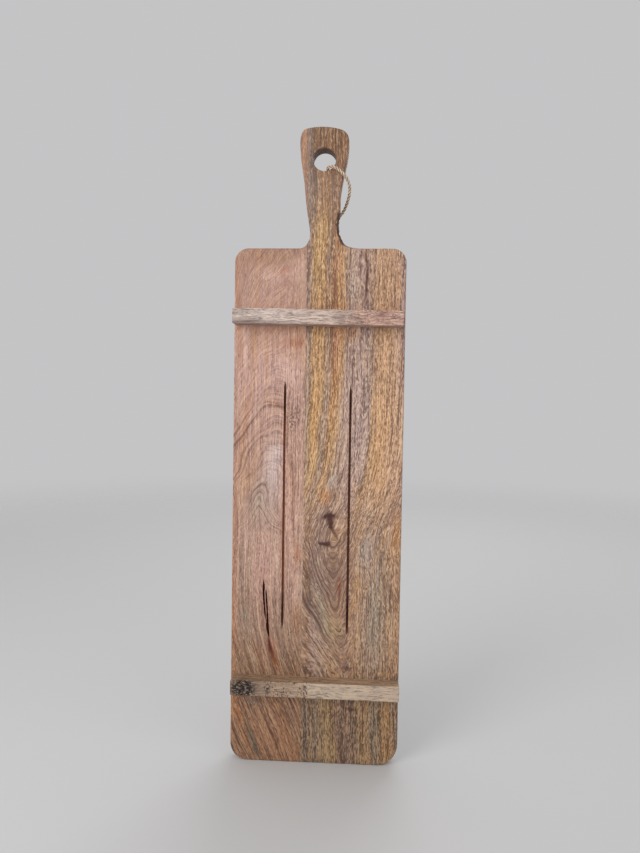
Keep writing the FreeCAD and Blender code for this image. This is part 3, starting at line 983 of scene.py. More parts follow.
class Graph(Nodes):
    """A material's node graph, with x, y and z in millimetres."""

    def __init__(self, name):
        self.material = bpy.data.materials.new(name)
        self.material.use_nodes = True
        super().__init__(self.material.node_tree)
        self.shader = self.tree.nodes["Principled BSDF"]
        place = self.node("ShaderNodeTexCoord").outputs["Object"]
        split = self.node("ShaderNodeSeparateXYZ")
        self.tree.links.new(place, split.inputs[0])
        self.x, self.y, self.z = [Term(self, socket) / MM for socket in split.outputs]

    def noise(self, x, y, z, detail=0.0, roughness=0.5):
        """Smooth noise from about -1 to 1."""
        join = self.node("ShaderNodeCombineXYZ")
        node = self.node("ShaderNodeTexNoise")
        for socket, value in zip(join.inputs, (x, y, z)):
            self.feed(socket, value)
        self.tree.links.new(join.outputs[0], node.inputs["Vector"])
        for name, value in (("Scale", 1), ("Detail", detail), ("Roughness", roughness)):
            node.inputs[name].default_value = value
        return (Term(self, node.outputs[0]) - 0.5) * 4

    def cloud(self, width, depth, height, detail=0.0, shift=0.0):
        """Smooth noise over the piece, with features of this size in millimetres."""
        return self.noise(self.x / width + shift, self.y / depth, self.z / height, detail)

    def ramp(self, value, stops):
        """A colour from a row of (value, colour) stops."""
        first, last = stops[0][0], stops[-1][0]
        node = self.node("ShaderNodeValToRGB")
        elements = node.color_ramp.elements
        elements[0].position = 0
        elements[1].position = 1
        for place, _ in stops[1:-1]:
            elements.new((place - first) / (last - first))
        for element, (_, colour) in zip(elements, stops):
            element.color = (*colour, 1)
        self.feed(node.inputs[0], (value - first) / (last - first))
        return Term(self, node.outputs[0])

    def mix(self, share, one, other, mode="MIX"):
        """One colour where share is 0, and the other where it is 1."""
        node = self.node("ShaderNodeMix", data_type="RGBA", blend_type=mode)
        sockets = {socket.identifier: socket for socket in node.inputs}
        for name, value in (("Factor_Float", share), ("A_Color", one), ("B_Color", other)):
            self.feed(sockets[name], value)
        return Term(self, next(s for s in node.outputs if s.identifier == "Result_Color"))

    def tinted(self, colour, foot, board, share, tint):
        """Pale or dark wood, tinted by the colour that it replaces."""
        plain = self.mix(self.z.smooth(20, 260), foot, board)
        return self.mix(share, plain, self.mix(1.0, colour, tint, "MULTIPLY"))

    def shade(self, colour, amount):
        """A colour with pale wood where amount is above 0, and dark wood where it is below."""
        up = amount.clamp(0, STRONGEST_SHADE)
        down = (amount * -1).clamp(0, STRONGEST_SHADE)
        paler = self.mix(up, colour, self.tinted(colour, *PALE_WOOD))
        return self.mix(down, paler, self.tinted(colour, *DARK_WOOD))

    def spot(self, x, z, middle_x, middle_z, width, height, lean=0.0):
        """A soft round spot, 1 in its middle. lean slides it sideways for each millimetre up."""
        group = self.node("ShaderNodeGroup", node_tree=spot_group())
        for socket, value in zip(group.inputs, (x, z, middle_x, middle_z, width, height, lean)):
            self.feed(socket, value)
        return Term(self, group.outputs[0])

    def finish(self, colour, roughness, height, depth=0.25 * MM, strength=0.6):
        """The material, with its colour, its roughness and a bump from its height."""
        self.feed(self.shader.inputs["Base Color"], colour)
        self.feed(self.shader.inputs["Roughness"], roughness)
        self.shader.inputs["Specular IOR Level"].default_value = SHINE
        bump = self.node("ShaderNodeBump")
        bump.inputs["Strength"].default_value = strength
        bump.inputs["Distance"].default_value = depth
        self.feed(bump.inputs["Height"], height)
        self.tree.links.new(bump.outputs[0], self.shader.inputs["Normal"])
        return self.material


def spot_group():
    """The node group behind Graph.spot, made once."""
    name = "soft_spot"
    if name in bpy.data.node_groups:
        return bpy.data.node_groups[name]
    tree = bpy.data.node_groups.new(name, "ShaderNodeTree")
    for label in ("x", "z", "middle x", "middle z", "width", "height", "lean"):
        tree.interface.new_socket(label, in_out="INPUT", socket_type="NodeSocketFloat")
    tree.interface.new_socket("share", in_out="OUTPUT", socket_type="NodeSocketFloat")
    nodes = Nodes(tree)
    start, end = nodes.node("NodeGroupInput"), nodes.node("NodeGroupOutput")
    x, z, middle_x, middle_z, width, height, lean = [Term(nodes, s) for s in start.outputs[:7]]
    up = z - middle_z
    across = (x - middle_x - up * lean) / width
    along = up / height
    far = across * across + along * along
    nodes.feed(end.inputs[0], nodes.math("POWER", math.e, far * -1))
    return tree


# ---- wood

def grain(graph, across, along, seed, long_strength, short_strength, page=0):
    """The shade and height, both about 0, of streaks, lines, flecks and pores along the grain.

    Another seed or page gives another pattern of the same kind.
    """
    y = graph.y + seed * 40 + page * 3
    streaks = graph.noise(across / 4.5, y / 6, along / 110) * 0.10
    bands = graph.noise(across / 2.1 + 50, y / 3, along / 70)
    lines = graph.noise(across / 1.2, y / 1.8, along / 42, detail=1, roughness=0.65)
    scattered = along + graph.noise(across / 1.9 + 31, y / 3, along / 14) * 2.2
    dashes = graph.noise(across / 1.1, y / 1.2, scattered / 5, detail=1, roughness=0.75)
    pores = graph.noise(across / 0.95, y / 1, scattered / 3.4 + 9).smooth(0.30, 0.9)
    flecks = dashes.smooth(0.35, 1)
    dark_lines = lines.smooth(-0.3, -1)
    long_marks = bands * 0.14 + lines * 0.36 - dark_lines * 0.22
    short_marks = dashes * 0.60 + flecks * 0.52 - pores * 0.56 + 0.01
    shade = streaks + long_marks * long_strength + short_marks * short_strength
    height = lines * 0.20 + dashes * 0.35 - pores * 0.9 - dark_lines * 0.3
    return shade, height


def wavy(graph):
    """x and z bent a little, as grain is."""
    bend = graph.cloud(34, 30, 80) * 1.6 + graph.cloud(9, 12, 40) * 0.30
    rise = graph.cloud(21, 20, 26, shift=5) * 3
    return graph.x + bend, graph.z + rise


def paint_spots(graph, colour, x, z, spots):
    """A colour with soft spots over it: (x, z, width, height, lean if any, tone, share)."""
    for *spot, paint, share in spots:
        colour = graph.mix(graph.spot(x, z, *spot) * share, colour, tone(*paint))
    return colour


def shade_spots(graph, x, z, spots):
    """The sum of soft spots of light or shade: (x, z, width, height, lean if any, amount)."""
    total = 0
    for *spot, amount in spots:
        total = graph.spot(x, z, *spot) * amount + total
    return total


def streak(graph, colour, share, z, heights, foot, board):
    """A colour with streaks over it: one tone at the foot, and another further up."""
    paint = graph.mix(z.smooth(*heights), tone(*foot), tone(*board))
    return graph.mix(share, colour, paint)


def burnt_cuts(graph, colour, kerf_x, brown):
    """The scorched brown of a saw cut below the surface of the face, darkest at its ends."""
    inside_cut = graph.y.band(0.35, 2, 9.5, 11)
    near = (graph.x - kerf_x / MM).magnitude().smooth(2.2, 1.6)
    length = graph.z.band(140, 146, 426, 432)
    ends = graph.math("MAXIMUM", graph.z.smooth(200, 165), graph.z.smooth(375, 405))
    brown = graph.mix(ends, brown, tone(104, 60, 46))
    return graph.mix(near * inside_cut * length * 0.92, colour, brown)


def finish_plank(graph, colour, height, roughness):
    """The finished material of a plank."""
    rough = graph.cloud(3, 3, 9, detail=1) * 0.06 + roughness
    return graph.finish(colour, rough, height)


# ---- the pink wood

# How far the streaks at the foot lean left, the middle of the arches and how narrow they are, by height.
FOOT_SLANT = [(0, 58), (60, 34), (110, 14), (160, 2), (230, 0)]
ARCH_MIDDLE = [
    (260, -61.7), (300, -63), (340, -47), (380, -47.5), (420, -44), (480, -22), (560, -10),
]
ARCH_NARROWNESS = [
    (240, 0.60), (260, 0.39), (300, 0.09), (340, 0.027), (380, 0.029), (420, 0.026), (560, 0.012),
]
# The height, width and shade of each dark line of the arches.
ARCH_LINES = (
    (400, 1.9, -0.50), (416.5, 2.4, -0.30), (378, 1.4, -0.26), (369, 1.2, -0.26), (311, 1.2, -0.20),
    (304.5, 1.2, -0.26), (297, 1, -0.20), (289, 1.5, -0.36), (281, 1.2, -0.26),
)
# Tones up the plank, by height.
PINK_TONES = tones(
    (0, 130, 95, 72), (70, 134, 99, 77), (110, 135, 103, 81), (150, 147, 117, 98),
    (240, 166, 134, 118), (300, 170, 135, 119), (345, 176, 139, 123), (400, 180, 144, 130),
    (440, 186, 149, 138), (470, 182, 143, 128), (505, 178, 142, 128), (540, 172, 136, 121),
    (570, 149, 113, 96), (700, 141, 108, 91),
)
# Soft stains: x, z, width, height, lean if any, tone and share.
PINK_STAINS = (
    # The pale heart under the arches, and the wood round it.
    (-48, 324, 10, 35, 0.05, (191, 171, 168), 0.85),
    (-44, 346, 8, 10, (197, 176, 170), 0.7),
    (-62, 292, 13, 26, (168, 148, 134), 0.75),
    (-77, 318, 6, 22, 0.25, (178, 138, 108), 0.6),
    # Streaks up the left edge.
    (-92, 210, 3.5, 150, (166, 114, 84), 0.7),
    (-79, 385, 4, 50, 0.15, (170, 120, 92), 0.55),
    (-83, 460, 4, 34, 0.05, (204, 168, 154), 0.7),
    (-73, 464, 3.5, 26, (172, 130, 94), 0.75),
    (-88.5, 462, 2.6, 30, (166, 118, 92), 0.7),
    (-92, 530, 3.5, 40, (166, 114, 88), 0.7),
    # Across the arches.
    (-31, 436, 13, 13, (206, 170, 158), 0.5),
    (-24, 468, 15, 6, (166, 108, 78), 0.75),
    (-40, 482, 30, 5, (172, 126, 100), 0.5),
    (-46, 402, 12, 4, (166, 116, 94), 0.5),
    # Between the bars, below the arches.
    (-58, 215, 14, 45, (192, 152, 140), 0.6),
    (-28, 275, 8, 45, (196, 152, 138), 0.5),
    (-26, 200, 8, 30, (188, 148, 136), 0.5),
    (-30, 325, 3, 24, (150, 106, 84), 0.55),
    (-21, 235, 4, 12, (170, 112, 76), 0.6),
    (-19, 162, 5, 16, -0.1, (150, 104, 70), 0.65),
    (-38, 142, 5, 6, -0.2, (140, 104, 82), 0.5),
    # Round the drying crack.
    (-80, 166, 3.4, 7, (132, 120, 102), 0.8),
    (-75.5, 150, 2.8, 14, -0.15, (118, 100, 88), 0.85),
    (-83, 205, 3, 26, (144, 120, 106), 0.6),
    (-61.5, 122, 2.8, 11, -0.40, (132, 82, 60), 0.75),
    (-70, 116, 2.2, 16, -0.38, (176, 146, 122), 0.65),
    (-54, 112, 2, 14, -0.38, (172, 134, 108), 0.6),
    (-83, 112, 3, 16, -0.34, (128, 104, 84), 0.6),
    (-43.5, 111, 3.6, 8, -0.35, (138, 92, 58), 0.7),
    (-46, 134, 3, 10, -0.30, (176, 120, 96), 0.5),
    # The foot.
    (-67, 22, 3.6, 17, -0.3, (88, 88, 76), 0.8),
    (-68, 70, 8, 4, (96, 86, 76), 0.75),
    (-84, 58, 5, 18, -0.3, (150, 92, 52), 0.7),
    (-78, 55, 2.5, 14, -0.35, (98, 76, 60), 0.6),
    (-45, 30, 22, 30, -0.2, (156, 108, 78), 0.4),
    (-30, 50, 3, 30, -0.35, (108, 78, 58), 0.5),
    # Above the upper bar.
    (-48, 540, 20, 8, (206, 170, 156), 0.45),
    (-39, 545, 7, 5, (160, 104, 80), 0.6),
    (-37, 532, 9, 6, 0.3, (152, 110, 96), 0.55),
    (-60, 561, 28, 7, (160, 118, 96), 0.65),
    (-40, 560, 9, 6, (162, 128, 102), 0.6),
    (-22, 552, 8, 13, 0.3, (200, 162, 146), 0.65),
    (-75, 548, 14, 8, 0.2, (166, 124, 108), 0.45),
)
# Dark marks: x, z, width, height, lean if any, and shade.
PINK_SHADES = (
    (-46, 357, 11, 2, -0.60),
    (-59, 345, 2.6, 8, 0.9, -0.38),
    (-68, 331, 2.6, 7, 0.9, -0.28),
    (-41, 318, 1, 22, 0.1, -0.20),
    (-55, 318, 1, 18, 0.3, -0.18),
)
# Stains round the drying crack, on the face only.
CRACK_STAINS = (
    (-54.8, 172, 4.2, 36, -0.09, (140, 88, 72), 0.60),
    (-46.4, 120, 3.4, 12, -0.39, (112, 58, 32), 0.90),
    (-49.4, 128.5, 2.4, 7, -0.30, (82, 32, 20), 0.95),
    (-50.6, 136, 1.3, 7, -0.12, (96, 44, 34), 0.95),
    (-50.2, 133, 0.8, 7, -0.25, (64, 24, 18), 0.95),
)


def arches(graph, x, z):
    """How much each place belongs to the arches of the grain, from 0 to 1, and their shade there."""
    off = x + graph.y * 0.3 - z.curve(ARCH_MIDDLE)
    vee = off.magnitude() * z.smooth(308, 288)
    bow = z.curve(ARCH_NARROWNESS) * off * off * z.smooth(262, 312)
    arch = z + bow + vee * 1.3
    y = graph.y / 30
    shade = graph.noise(arch / 9, y, graph.x / 60, detail=1) * 0.07
    shade = shade + graph.noise(arch / 2.6, y, graph.x / 24, detail=1) * 0.12
    shade = shade + graph.noise(arch / 1.2, y, graph.x / 10) * 0.10
    for height, width, amount in ARCH_LINES:
        shade = shade + graph.spot(arch, graph.z, height, 330, width, 90) * amount
    share = graph.x.smooth(-33.5, -38.5) * z.smooth(238, 272)
    return share, shade * share


def pink_grain(graph, x, z, straight):
    """The light and shade of the pink plank, and the height of its surface."""
    share, arch_shade = arches(graph, x, z)
    soft_top = 1 - z.smooth(480, 520) * 0.55
    shade, height = grain(graph, straight, graph.z, 1, soft_top * 1.15, 0.75)
    shade = shade * (1 - z.smooth(425, 500) * 0.25 + z.smooth(130, 80) * 0.35)
    blotch = graph.cloud(14, 16, 16, detail=3) * 0.075
    low_streaks = graph.noise(straight / 2.6 + 7, graph.y / 12, graph.z / 70, detail=1) * 0.15
    pearl = graph.cloud(2.4, 3, 1.9, detail=1) * 0.07
    blotch = blotch + low_streaks * z.smooth(250, 130) + pearl * z.smooth(500, 530)
    specks = graph.cloud(1.6, 2, 2.6, detail=1).smooth(-0.3, 0.7)
    marks = shade_spots(graph, x, z, PINK_SHADES) - specks * graph.spot(x, z, -27, 382, 9, 13) * 1.7
    return shade * (1 - share * 0.35) + arch_shade * 2.2 + blotch + marks, height


def pink_streaks(graph, colour, z, straight):
    """Tan, grey and pale streaks along the pink plank."""
    y = graph.y / 12
    tan = graph.noise(straight / 7, y, graph.z / 130).smooth(0.1, 1.1)
    colour = streak(graph, colour, tan * 0.62, z, (60, 220), (146, 100, 68), (176, 134, 102))
    grey = graph.noise(straight / 5 + 40, y, graph.z / 90).smooth(0.3, 1.3)
    grey = grey * graph.z.smooth(330, 200) * 0.55
    colour = streak(graph, colour, grey, z, (60, 200), (108, 88, 74), (150, 126, 110))
    pale = graph.noise(straight / 3.8 + 20, y, graph.z / 120).smooth(0.2, 1.2)
    pale = pale * z.smooth(500, 440) * 0.5
    return streak(graph, colour, pale, z, (60, 220), (160, 126, 102), (202, 166, 152))


def dark_crack(graph, colour):
    """The stained wood round the drying crack, and painted shade inside the crack."""
    stained = paint_spots(graph, colour, graph.x, graph.z, CRACK_STAINS)
    colour = graph.mix(graph.y.smooth(9, 5), colour, stained)
    colour = burnt_cuts(graph, colour, LEFT_KERF_X, tone(196, 140, 116))
    # Painted shade: the inside of the crack, below the face, is darkened nearly to black.
    near = (graph.x + 54.5).magnitude().smooth(7, 6)
    inside_crack = near * graph.y.band(0.15, 1, 6, 8) * graph.z.band(138, 140, 208, 210)
    return graph.mix(inside_crack * 0.96, colour, tone(66, 32, 26))


def pink_wood():
    """The paler, pinkish plank: a cathedral of arches above, slanting streaks below."""
    graph = Graph("pink_wood")
    x, z = wavy(graph)
    straight = x + graph.y * 0.5 + (58 - graph.z.curve(FOOT_SLANT))
    shade, height = pink_grain(graph, x, z, straight)
    colour = graph.ramp(graph.z + graph.cloud(30, 20, 40) * 12, PINK_TONES)
    colour = pink_streaks(graph, colour, z, straight)
    colour = paint_spots(graph, colour, x, z, PINK_STAINS)
    colour = graph.shade(colour, shade)
    colour = dark_crack(graph, colour)
    return finish_plank(graph, colour, height, roughness=0.60)


# ---- the golden wood

# x and z of the middle of the hanging hole.
HOLE = (3.2, 665.7)
# x of the axis that the grain flows round, by height.
SWIRL_AXIS = [
    (0, 38), (60, 37), (108, 33), (131, 30), (166, 24.5), (187, 22), (220, 19), (245, 20), (270, 26),
    (300, 37), (400, 50), (570, 52), (705, 52),
]
# x of the neck's right edge, where the bark is, by height.
BARK_RIM = [(566, 34), (575, 26), (583.5, 22.4), (594, 20.4), (605, 21), (615, 20.8)]
# The distance of each dark ring from the axis, its width and its strength.
RING_LINES = (
    (50, 1.4, 0.95), (46.5, 1, 0.7), (41, 0.9, 0.5), (29, 1, 0.65), (25, 0.8, 0.45),
    (15, 0.8, 0.45),
)
# Tones across the plank by x: above the knots, low, at the foot and on the handle.
GOLDEN_TOP = tones(
    (-15, 150, 122, 106), (-10, 143, 118, 100), (-8, 169, 134, 100), (-4, 175, 138, 98),
    (3, 178, 140, 97), (7, 171, 136, 104), (10, 156, 130, 112), (14, 150, 118, 92), (16, 143, 100, 74),
    (19, 165, 122, 86), (25, 173, 132, 92), (29, 156, 126, 106), (34, 158, 130, 116),
    (43, 160, 134, 122), (52, 154, 130, 122), (56, 158, 132, 114), (65, 173, 135, 104),
    (76, 179, 141, 112), (87, 168, 133, 112), (92, 148, 123, 118),
)
GOLDEN_LOW = tones(
    (-15, 154, 126, 108), (-9, 146, 112, 90), (-4, 142, 116, 106), (8, 154, 128, 112),
    (20, 158, 126, 102), (34, 152, 118, 100), (46, 166, 132, 104), (58, 158, 130, 112),
    (70, 154, 128, 110), (80, 164, 132, 106), (90, 162, 126, 98),
)
GOLDEN_FOOT = tones(
    (-15, 118, 96, 79), (-10, 103, 87, 75), (-3, 113, 92, 75), (4, 124, 102, 84), (10, 139, 114, 86),
    (18, 144, 117, 82), (26, 128, 99, 78), (34, 117, 91, 76), (44, 119, 95, 80), (52, 134, 106, 76),
    (60, 146, 112, 80), (68, 119, 104, 88), (76, 136, 108, 80), (84, 152, 114, 76), (92, 126, 101, 82),
)
GOLDEN_HANDLE = tones(
    (-24, 158, 120, 98), (-15, 140, 114, 96), (-13, 112, 96, 86), (-8, 120, 100, 86),
    (-4, 144, 116, 96), (2, 144, 112, 88), (9, 146, 116, 92), (13, 128, 96, 78), (18, 136, 106, 86),
    (22, 150, 114, 90), (29, 138, 104, 84),
)
# Tones by distance from the axis, on the two sides of it.
GOLDEN_LEFT_ARM = tones(
    (0, 166, 138, 126), (22, 164, 136, 122), (27, 170, 142, 120), (31, 180, 140, 98),
    (38, 182, 144, 102), (41, 160, 134, 112), (45, 152, 130, 112), (48, 182, 146, 104),
    (56, 188, 150, 102), (60, 164, 134, 104), (66, 158, 130, 110),
)
GOLDEN_RIGHT_ARM = tones(
    (0, 164, 136, 124), (6, 166, 140, 126), (11, 190, 150, 106), (20, 191, 152, 119),
    (28, 185, 147, 119), (38, 187, 149, 119), (46, 179, 143, 119), (54, 163, 135, 123),
)
BARK_TONES = tones((-0.8, 44, 26, 22), (0.1, 68, 40, 32), (0.9, 108, 74, 60))
# Soft stains: x, z, width, height, lean if any, tone and share.
GOLDEN_STAINS = (
    # The glow above the knots, and the stripes above it.
    (10, 300, 5, 9, 0.1, (184, 120, 56), 0.75),
    (-1, 440, 6, 100, 0.03, (182, 136, 88), 0.5),
    (-5, 380, 4, 50, 0.05, (182, 134, 78), 0.45),
    (17, 430, 4.5, 80, 0.10, (182, 128, 80), 0.6),
    (73, 430, 9, 110, (194, 150, 110), 0.4),
    (66, 340, 6, 50, 0.06, (192, 142, 88), 0.5),
    (12, 520, 4, 40, (170, 120, 78), 0.45),
    (-3, 560, 4, 30, (176, 140, 88), 0.45),
    # Grey wood round the knots and beside the kerf.
    (17, 318, 5, 9, 0.1, (172, 158, 150), 0.6),
    (8, 262, 10, 24, 0.1, (148, 120, 106), 0.6),
    (17, 210, 15, 32, (124, 97, 84), 0.8),
    (44, 380, 12, 80, 0.04, (166, 142, 136), 0.60),
    (33, 440, 5, 40, 0.04, (168, 144, 138), 0.55),
    (9, 400, 2.2, 60, 0.06, (158, 138, 128), 0.5),
    # Round the nested rings.
    (28, 199, 2.2, 13, (120, 54, 36), 0.95),
    (54, 240, 7, 18, (158, 146, 140), 0.65),
    (66, 170, 9, 50, 0.1, (134, 124, 108), 0.6),
    (8, 172, 4, 22, -0.35, (160, 148, 124), 0.75),
    (22, 152, 9, 12, -0.3, (162, 136, 98), 0.6),
    (-7, 196, 3.5, 24, -0.1, (104, 84, 74), 0.7),
    (-11, 205, 2.5, 14, (122, 86, 56), 0.6),
    (47, 200, 3, 10, (168, 122, 66), 0.5),
    (88, 262, 5, 26, (172, 118, 64), 0.6),
    # Round the upper bar.
    (18, 470, 3, 26, (140, 80, 54), 0.75),
    (36, 529, 6, 22, (168, 150, 138), 0.6),
    (51, 533, 6, 30, (168, 132, 118), 0.6),
    (35, 480, 10, 8, (176, 124, 82), 0.55),
    # The handle.
    (26, 652, 2.6, 7, (70, 46, 36), 0.8),
    (22, 640, 5, 22, 0.1, (120, 88, 74), 0.5),
    (2, 590, 7, 20, (178, 142, 92), 0.5),
    (-11, 680, 3, 40, -0.05, (106, 92, 86), 0.7),
)
# The two knots, in pieces, and small dark marks: x, z, width, height, lean if any, and share.
GOLDEN_KNOTS = (
    (14.5, 277, 6.2, 2.8, 0.95),
    (16, 270, 2.3, 8, -0.12, 0.95),
    (19.5, 260, 1.6, 6, -0.5, 0.65),
    (7, 246.5, 4, 1.9, 0.9),
    (12.5, 246, 3.4, 2.2, 0.9),
    (50.6, 532, 1.1, 14, 0.03, 0.8),
    (48.2, 560, 1.6, 7, -0.1, 0.55),
    (50.5, 548, 0.9, 14, -0.1, 0.5),
    (40, 64, 6, 1.6, 0.5),
    (43, 54, 4, 1.6, 0.35),
    (35, 108, 5, 1.4, 0.1, 0.5),
)


def swirl(graph, x, z):
    """How far each place is to the right of the swirl's axis, and how far out it is in the rings."""
    twirl = graph.cloud(26, 30, 34, detail=1, shift=3) * 1.8
    off = x + graph.y * 0.4 + twirl * graph.z.smooth(350, 280) - graph.z.curve(SWIRL_AXIS)
    below = (250 - z).clamp(0, 149)
    near = graph.spot(off, z, 0, 0, 62, 2000)
    return off, graph.math("SQRT", off * off + 14) + below * near * 0.335


def golden_grain(graph, z, flow, page):
    """The light and shade of the golden plank, and its height. Its foot and low right side are plain."""
    strengths = (1.5, 1.35)
    shade, height = grain(graph, flow, graph.z, 2, *strengths, page)
    upright = graph.x + graph.y * 0.4 + z * 0.02 + graph.cloud(20, 20, 60) * 0.8
    plain_shade, plain_height = grain(graph, upright, graph.z, 5, *strengths)
    right_edge = graph.x.smooth(38, 46) * z.smooth(262, 240)
    plain = graph.math("MAXIMUM", right_edge, graph.z.smooth(92, 88))
    flowing = 1 - plain
    shade = plain_shade * plain + shade * flowing
    height = plain_height * plain + height * flowing
    shade = shade * (1 - graph.z.smooth(575, 640) * 0.38 + graph.z.smooth(130, 80) * 0.45)
    ringed = graph.spot(graph.x, graph.z, 8, 195, 34, 95)
    calm = graph.spot(graph.x, graph.z, 23, 190, 8, 40)
    rings = graph.noise(flow / 3.4, graph.y / 30 + page, graph.z / 40, detail=2) * 0.13
    rings = rings * (1 - calm * 0.5) * (ringed * 0.55 + 0.30) * flowing
    shade = shade * (1 - ringed * 0.35 - calm * 0.35) + rings
    return shade + graph.cloud(7, 12, 26, detail=3) * 0.09, height


def golden_stripes(graph, z, right_side, flow, edge):
    """The broad stripes of the golden plank, part by part along its length."""
    left_arm = graph.ramp(flow + edge, GOLDEN_LEFT_ARM)
    right_arm = graph.ramp(flow + edge, GOLDEN_RIGHT_ARM)
    arms = graph.mix(right_side, left_arm, right_arm)
    top = graph.ramp(graph.x + edge, GOLDEN_TOP)
    low = graph.ramp(graph.x + edge * 1.5, GOLDEN_LOW)
    foot = graph.ramp(graph.x + edge * 1.7 + z * 0.04, GOLDEN_FOOT)
    handle = graph.ramp(graph.x + edge * 0.7, GOLDEN_HANDLE)
    colour = graph.mix(z.smooth(395, 435), arms, top)
    colour = graph.mix((z + graph.x * 0.2 + edge * 5).smooth(342, 258), colour, low)
    colour = graph.mix(z.smooth(125, 60), colour, foot)
    colour = graph.mix(graph.z.smooth(562, 625), colour, handle)
    return graph.mix(graph.z.smooth(625, 690) * 0.72, colour, tone(97, 67, 44))


def golden_streaks(graph, colour, z, flow, page, edge):
    """Gold and dim streaks along the golden plank, and the grey stripe by the glue line."""
    y = graph.y / 9 + page
    grey_zone = graph.spot(graph.x, graph.z, 44, 390, 14, 75)
    gold = graph.noise(flow / 1.9 + 60, y, graph.z / 70, detail=1).smooth(0, 1)
    gold = gold * (0.50 - grey_zone * 0.45)
    colour = streak(graph, colour, gold, z, (60, 300), (150, 110, 68), (200, 142, 76))
    dim = graph.noise(flow / 1.7 + 90, y, graph.z / 60, detail=1).smooth(0.1, 1)
    colour = streak(graph, colour, dim * 0.62, z, (100, 330), (106, 86, 78), (140, 112, 102))
    stripe = (graph.x + edge * 0.6).smooth(-7.5, -10) * graph.z.smooth(290, 340)
    return graph.mix(stripe * 0.6, colour, tone(144, 120, 106))


def knots_and_rings(graph, colour, x, z, off, flow):
    """The dark knots with their crumbled edges, and the dark lines of the nested rings."""
    smudge = graph.cloud(1.6, 3, 2.2, detail=1) * 0.35 + 0.9
    for *spot, amount in GOLDEN_KNOTS:
        knot = graph.math("MINIMUM", graph.spot(x, z, *spot) * smudge * 2, 1)
        colour = graph.mix(knot * amount, colour, tone(68, 35, 30))
    for far, width, amount in RING_LINES:
        line = graph.spot(flow, graph.z, far, 225 - far, width, 50) * off.smooth(14, 4)
        colour = graph.mix(line * amount, colour, tone(86, 64, 57))
    return colour


def bark(graph, colour):
    """Dark rough bark on the right edge of the neck."""
    ragged = graph.cloud(3, 4, 4, detail=2) * 1.6
    rim = graph.z.curve(BARK_RIM)
    edge = (graph.x - rim + ragged * 0.5).smooth(-4, -3.1)
    height = (graph.z + ragged).band(570, 576, 606, 613)
    near = graph.x.smooth(32, 30)
    dark = graph.ramp(graph.cloud(2, 2, 3, detail=2), BARK_TONES)
    return graph.mix(edge * height * near * 0.9, colour, dark)


def golden_wood():
    """The golden and grey plank: stripes above, and grain that flows round two knots below."""
    graph = Graph("golden_wood")
    x, z = wavy(graph)
    off, flow = swirl(graph, x, z)
    right_side = off.smooth(-5, 5)
    page = right_side * (z.smooth(262, 330) + z.smooth(128, 88)) * 2
    shade, height = golden_grain(graph, z, flow, page)
    edge = graph.noise(x / 3.2, graph.y / 9, graph.z / 26, detail=2, roughness=0.6) * 3.2
    colour = golden_stripes(graph, z, right_side, flow, edge)
    colour = golden_streaks(graph, colour, z, flow, page, edge)
    colour = paint_spots(graph, colour, x, z, GOLDEN_STAINS)
    colour = graph.shade(colour, shade)
    colour = knots_and_rings(graph, colour, x, z, off, flow)
    colour = burnt_cuts(graph, colour, RIGHT_KERF_X, tone(160, 114, 94))
    # The bore of the hanging hole is painted dark brown: partly its own scorched wood, partly painted
    # shade inside the hole.
    near_hole = graph.spot(graph.x, graph.z, *HOLE, 20, 20).smooth(0.645, 0.675)
    colour = graph.mix(near_hole * graph.y.smooth(0.9, 2.4) * 0.72, colour, tone(70, 50, 40))
    colour = bark(graph, colour)
    return finish_plank(graph, colour, height, roughness=0.58)


# ---- the bars and the twine

# Tones along each bar by x, and stains on the upper one.
GREY_BAR_TONES = tones(
    (-94, 156, 142, 136), (-60, 192, 176, 168), (-20, 184, 166, 158), (10, 186, 166, 156),
    (30, 164, 142, 132), (45, 176, 143, 130), (94, 178, 143, 130),
)
GREY_BAR_STAINS = (
    (-73, 489, 18, 2.2, (104, 88, 82), 0.85),
    (-40, 488, 22, 1.4, (140, 122, 114), 0.6),
    (25, 493, 5, 6, 0.3, (128, 106, 100), 0.6),
    (-10, 498, 7, 3, 0.2, (150, 128, 118), 0.5),
    (68, 494, 6, 4, 1, (140, 100, 90), 0.5),
)
PALE_BAR_TONES = tones(
    (-94, 138, 118, 100), (-60, 148, 124, 106), (-20, 160, 137, 117), (0, 182, 163, 144),
    (94, 178, 158, 140),
)
JUTE_TONES = tones(
    (-0.9, 170, 142, 116), (-0.2, 208, 182, 156), (0.3, 226, 204, 180), (0.9, 240, 224, 206),
)


def bar_wood(name, stops, side_shade_tone, seed, strength):
    """Pale sawn wood with its grain along x, and painted shade that makes every side behind the front face
    browner and darker: its graph, colour and height.
    """
    graph = Graph(name)
    x, y, z = graph.x, graph.y, graph.z
    wave = graph.noise(x / 22, y / 8, z / 9 + seed) * 0.9
    wave = wave + graph.noise(x / 60, y / 30, z / 25 + seed) * 2.5
    across = z + wave
    colour = graph.ramp(x + graph.noise(x / 9, y / 5, across / 3 + seed) * 9, stops)
    # Painted shade: the top, bottom and end sides behind the front face take the darker side tone.
    colour = graph.mix(y.smooth(-17.2, -15.6) * 0.85, colour, side_shade_tone)
    ribbons = graph.noise(x / 26, y / 3, across / 2.2 + seed, detail=2) * 0.42
    lines = graph.noise(x / 12, y / 1.3, across / 1.05 + seed, detail=1, roughness=0.7)
    flecks = graph.noise(x / 4, y / 1.2, across / 1 + seed + 5, detail=1, roughness=0.7)
    pores = graph.noise(x / 5, y / 0.9, across / 0.9 + seed, detail=1).smooth(0.3, 1.1)
    shade = ribbons + lines * 0.50 + flecks * 0.34 - pores * 0.55
    return graph, graph.shade(colour, shade * strength), lines * 0.6 - pores


def finish_bar(graph, colour, height):
    """The finished material of a bar."""
    rough = graph.cloud(5, 2, 2) * 0.06 + 0.66
    return graph.finish(colour, rough, height, depth=0.3 * MM)


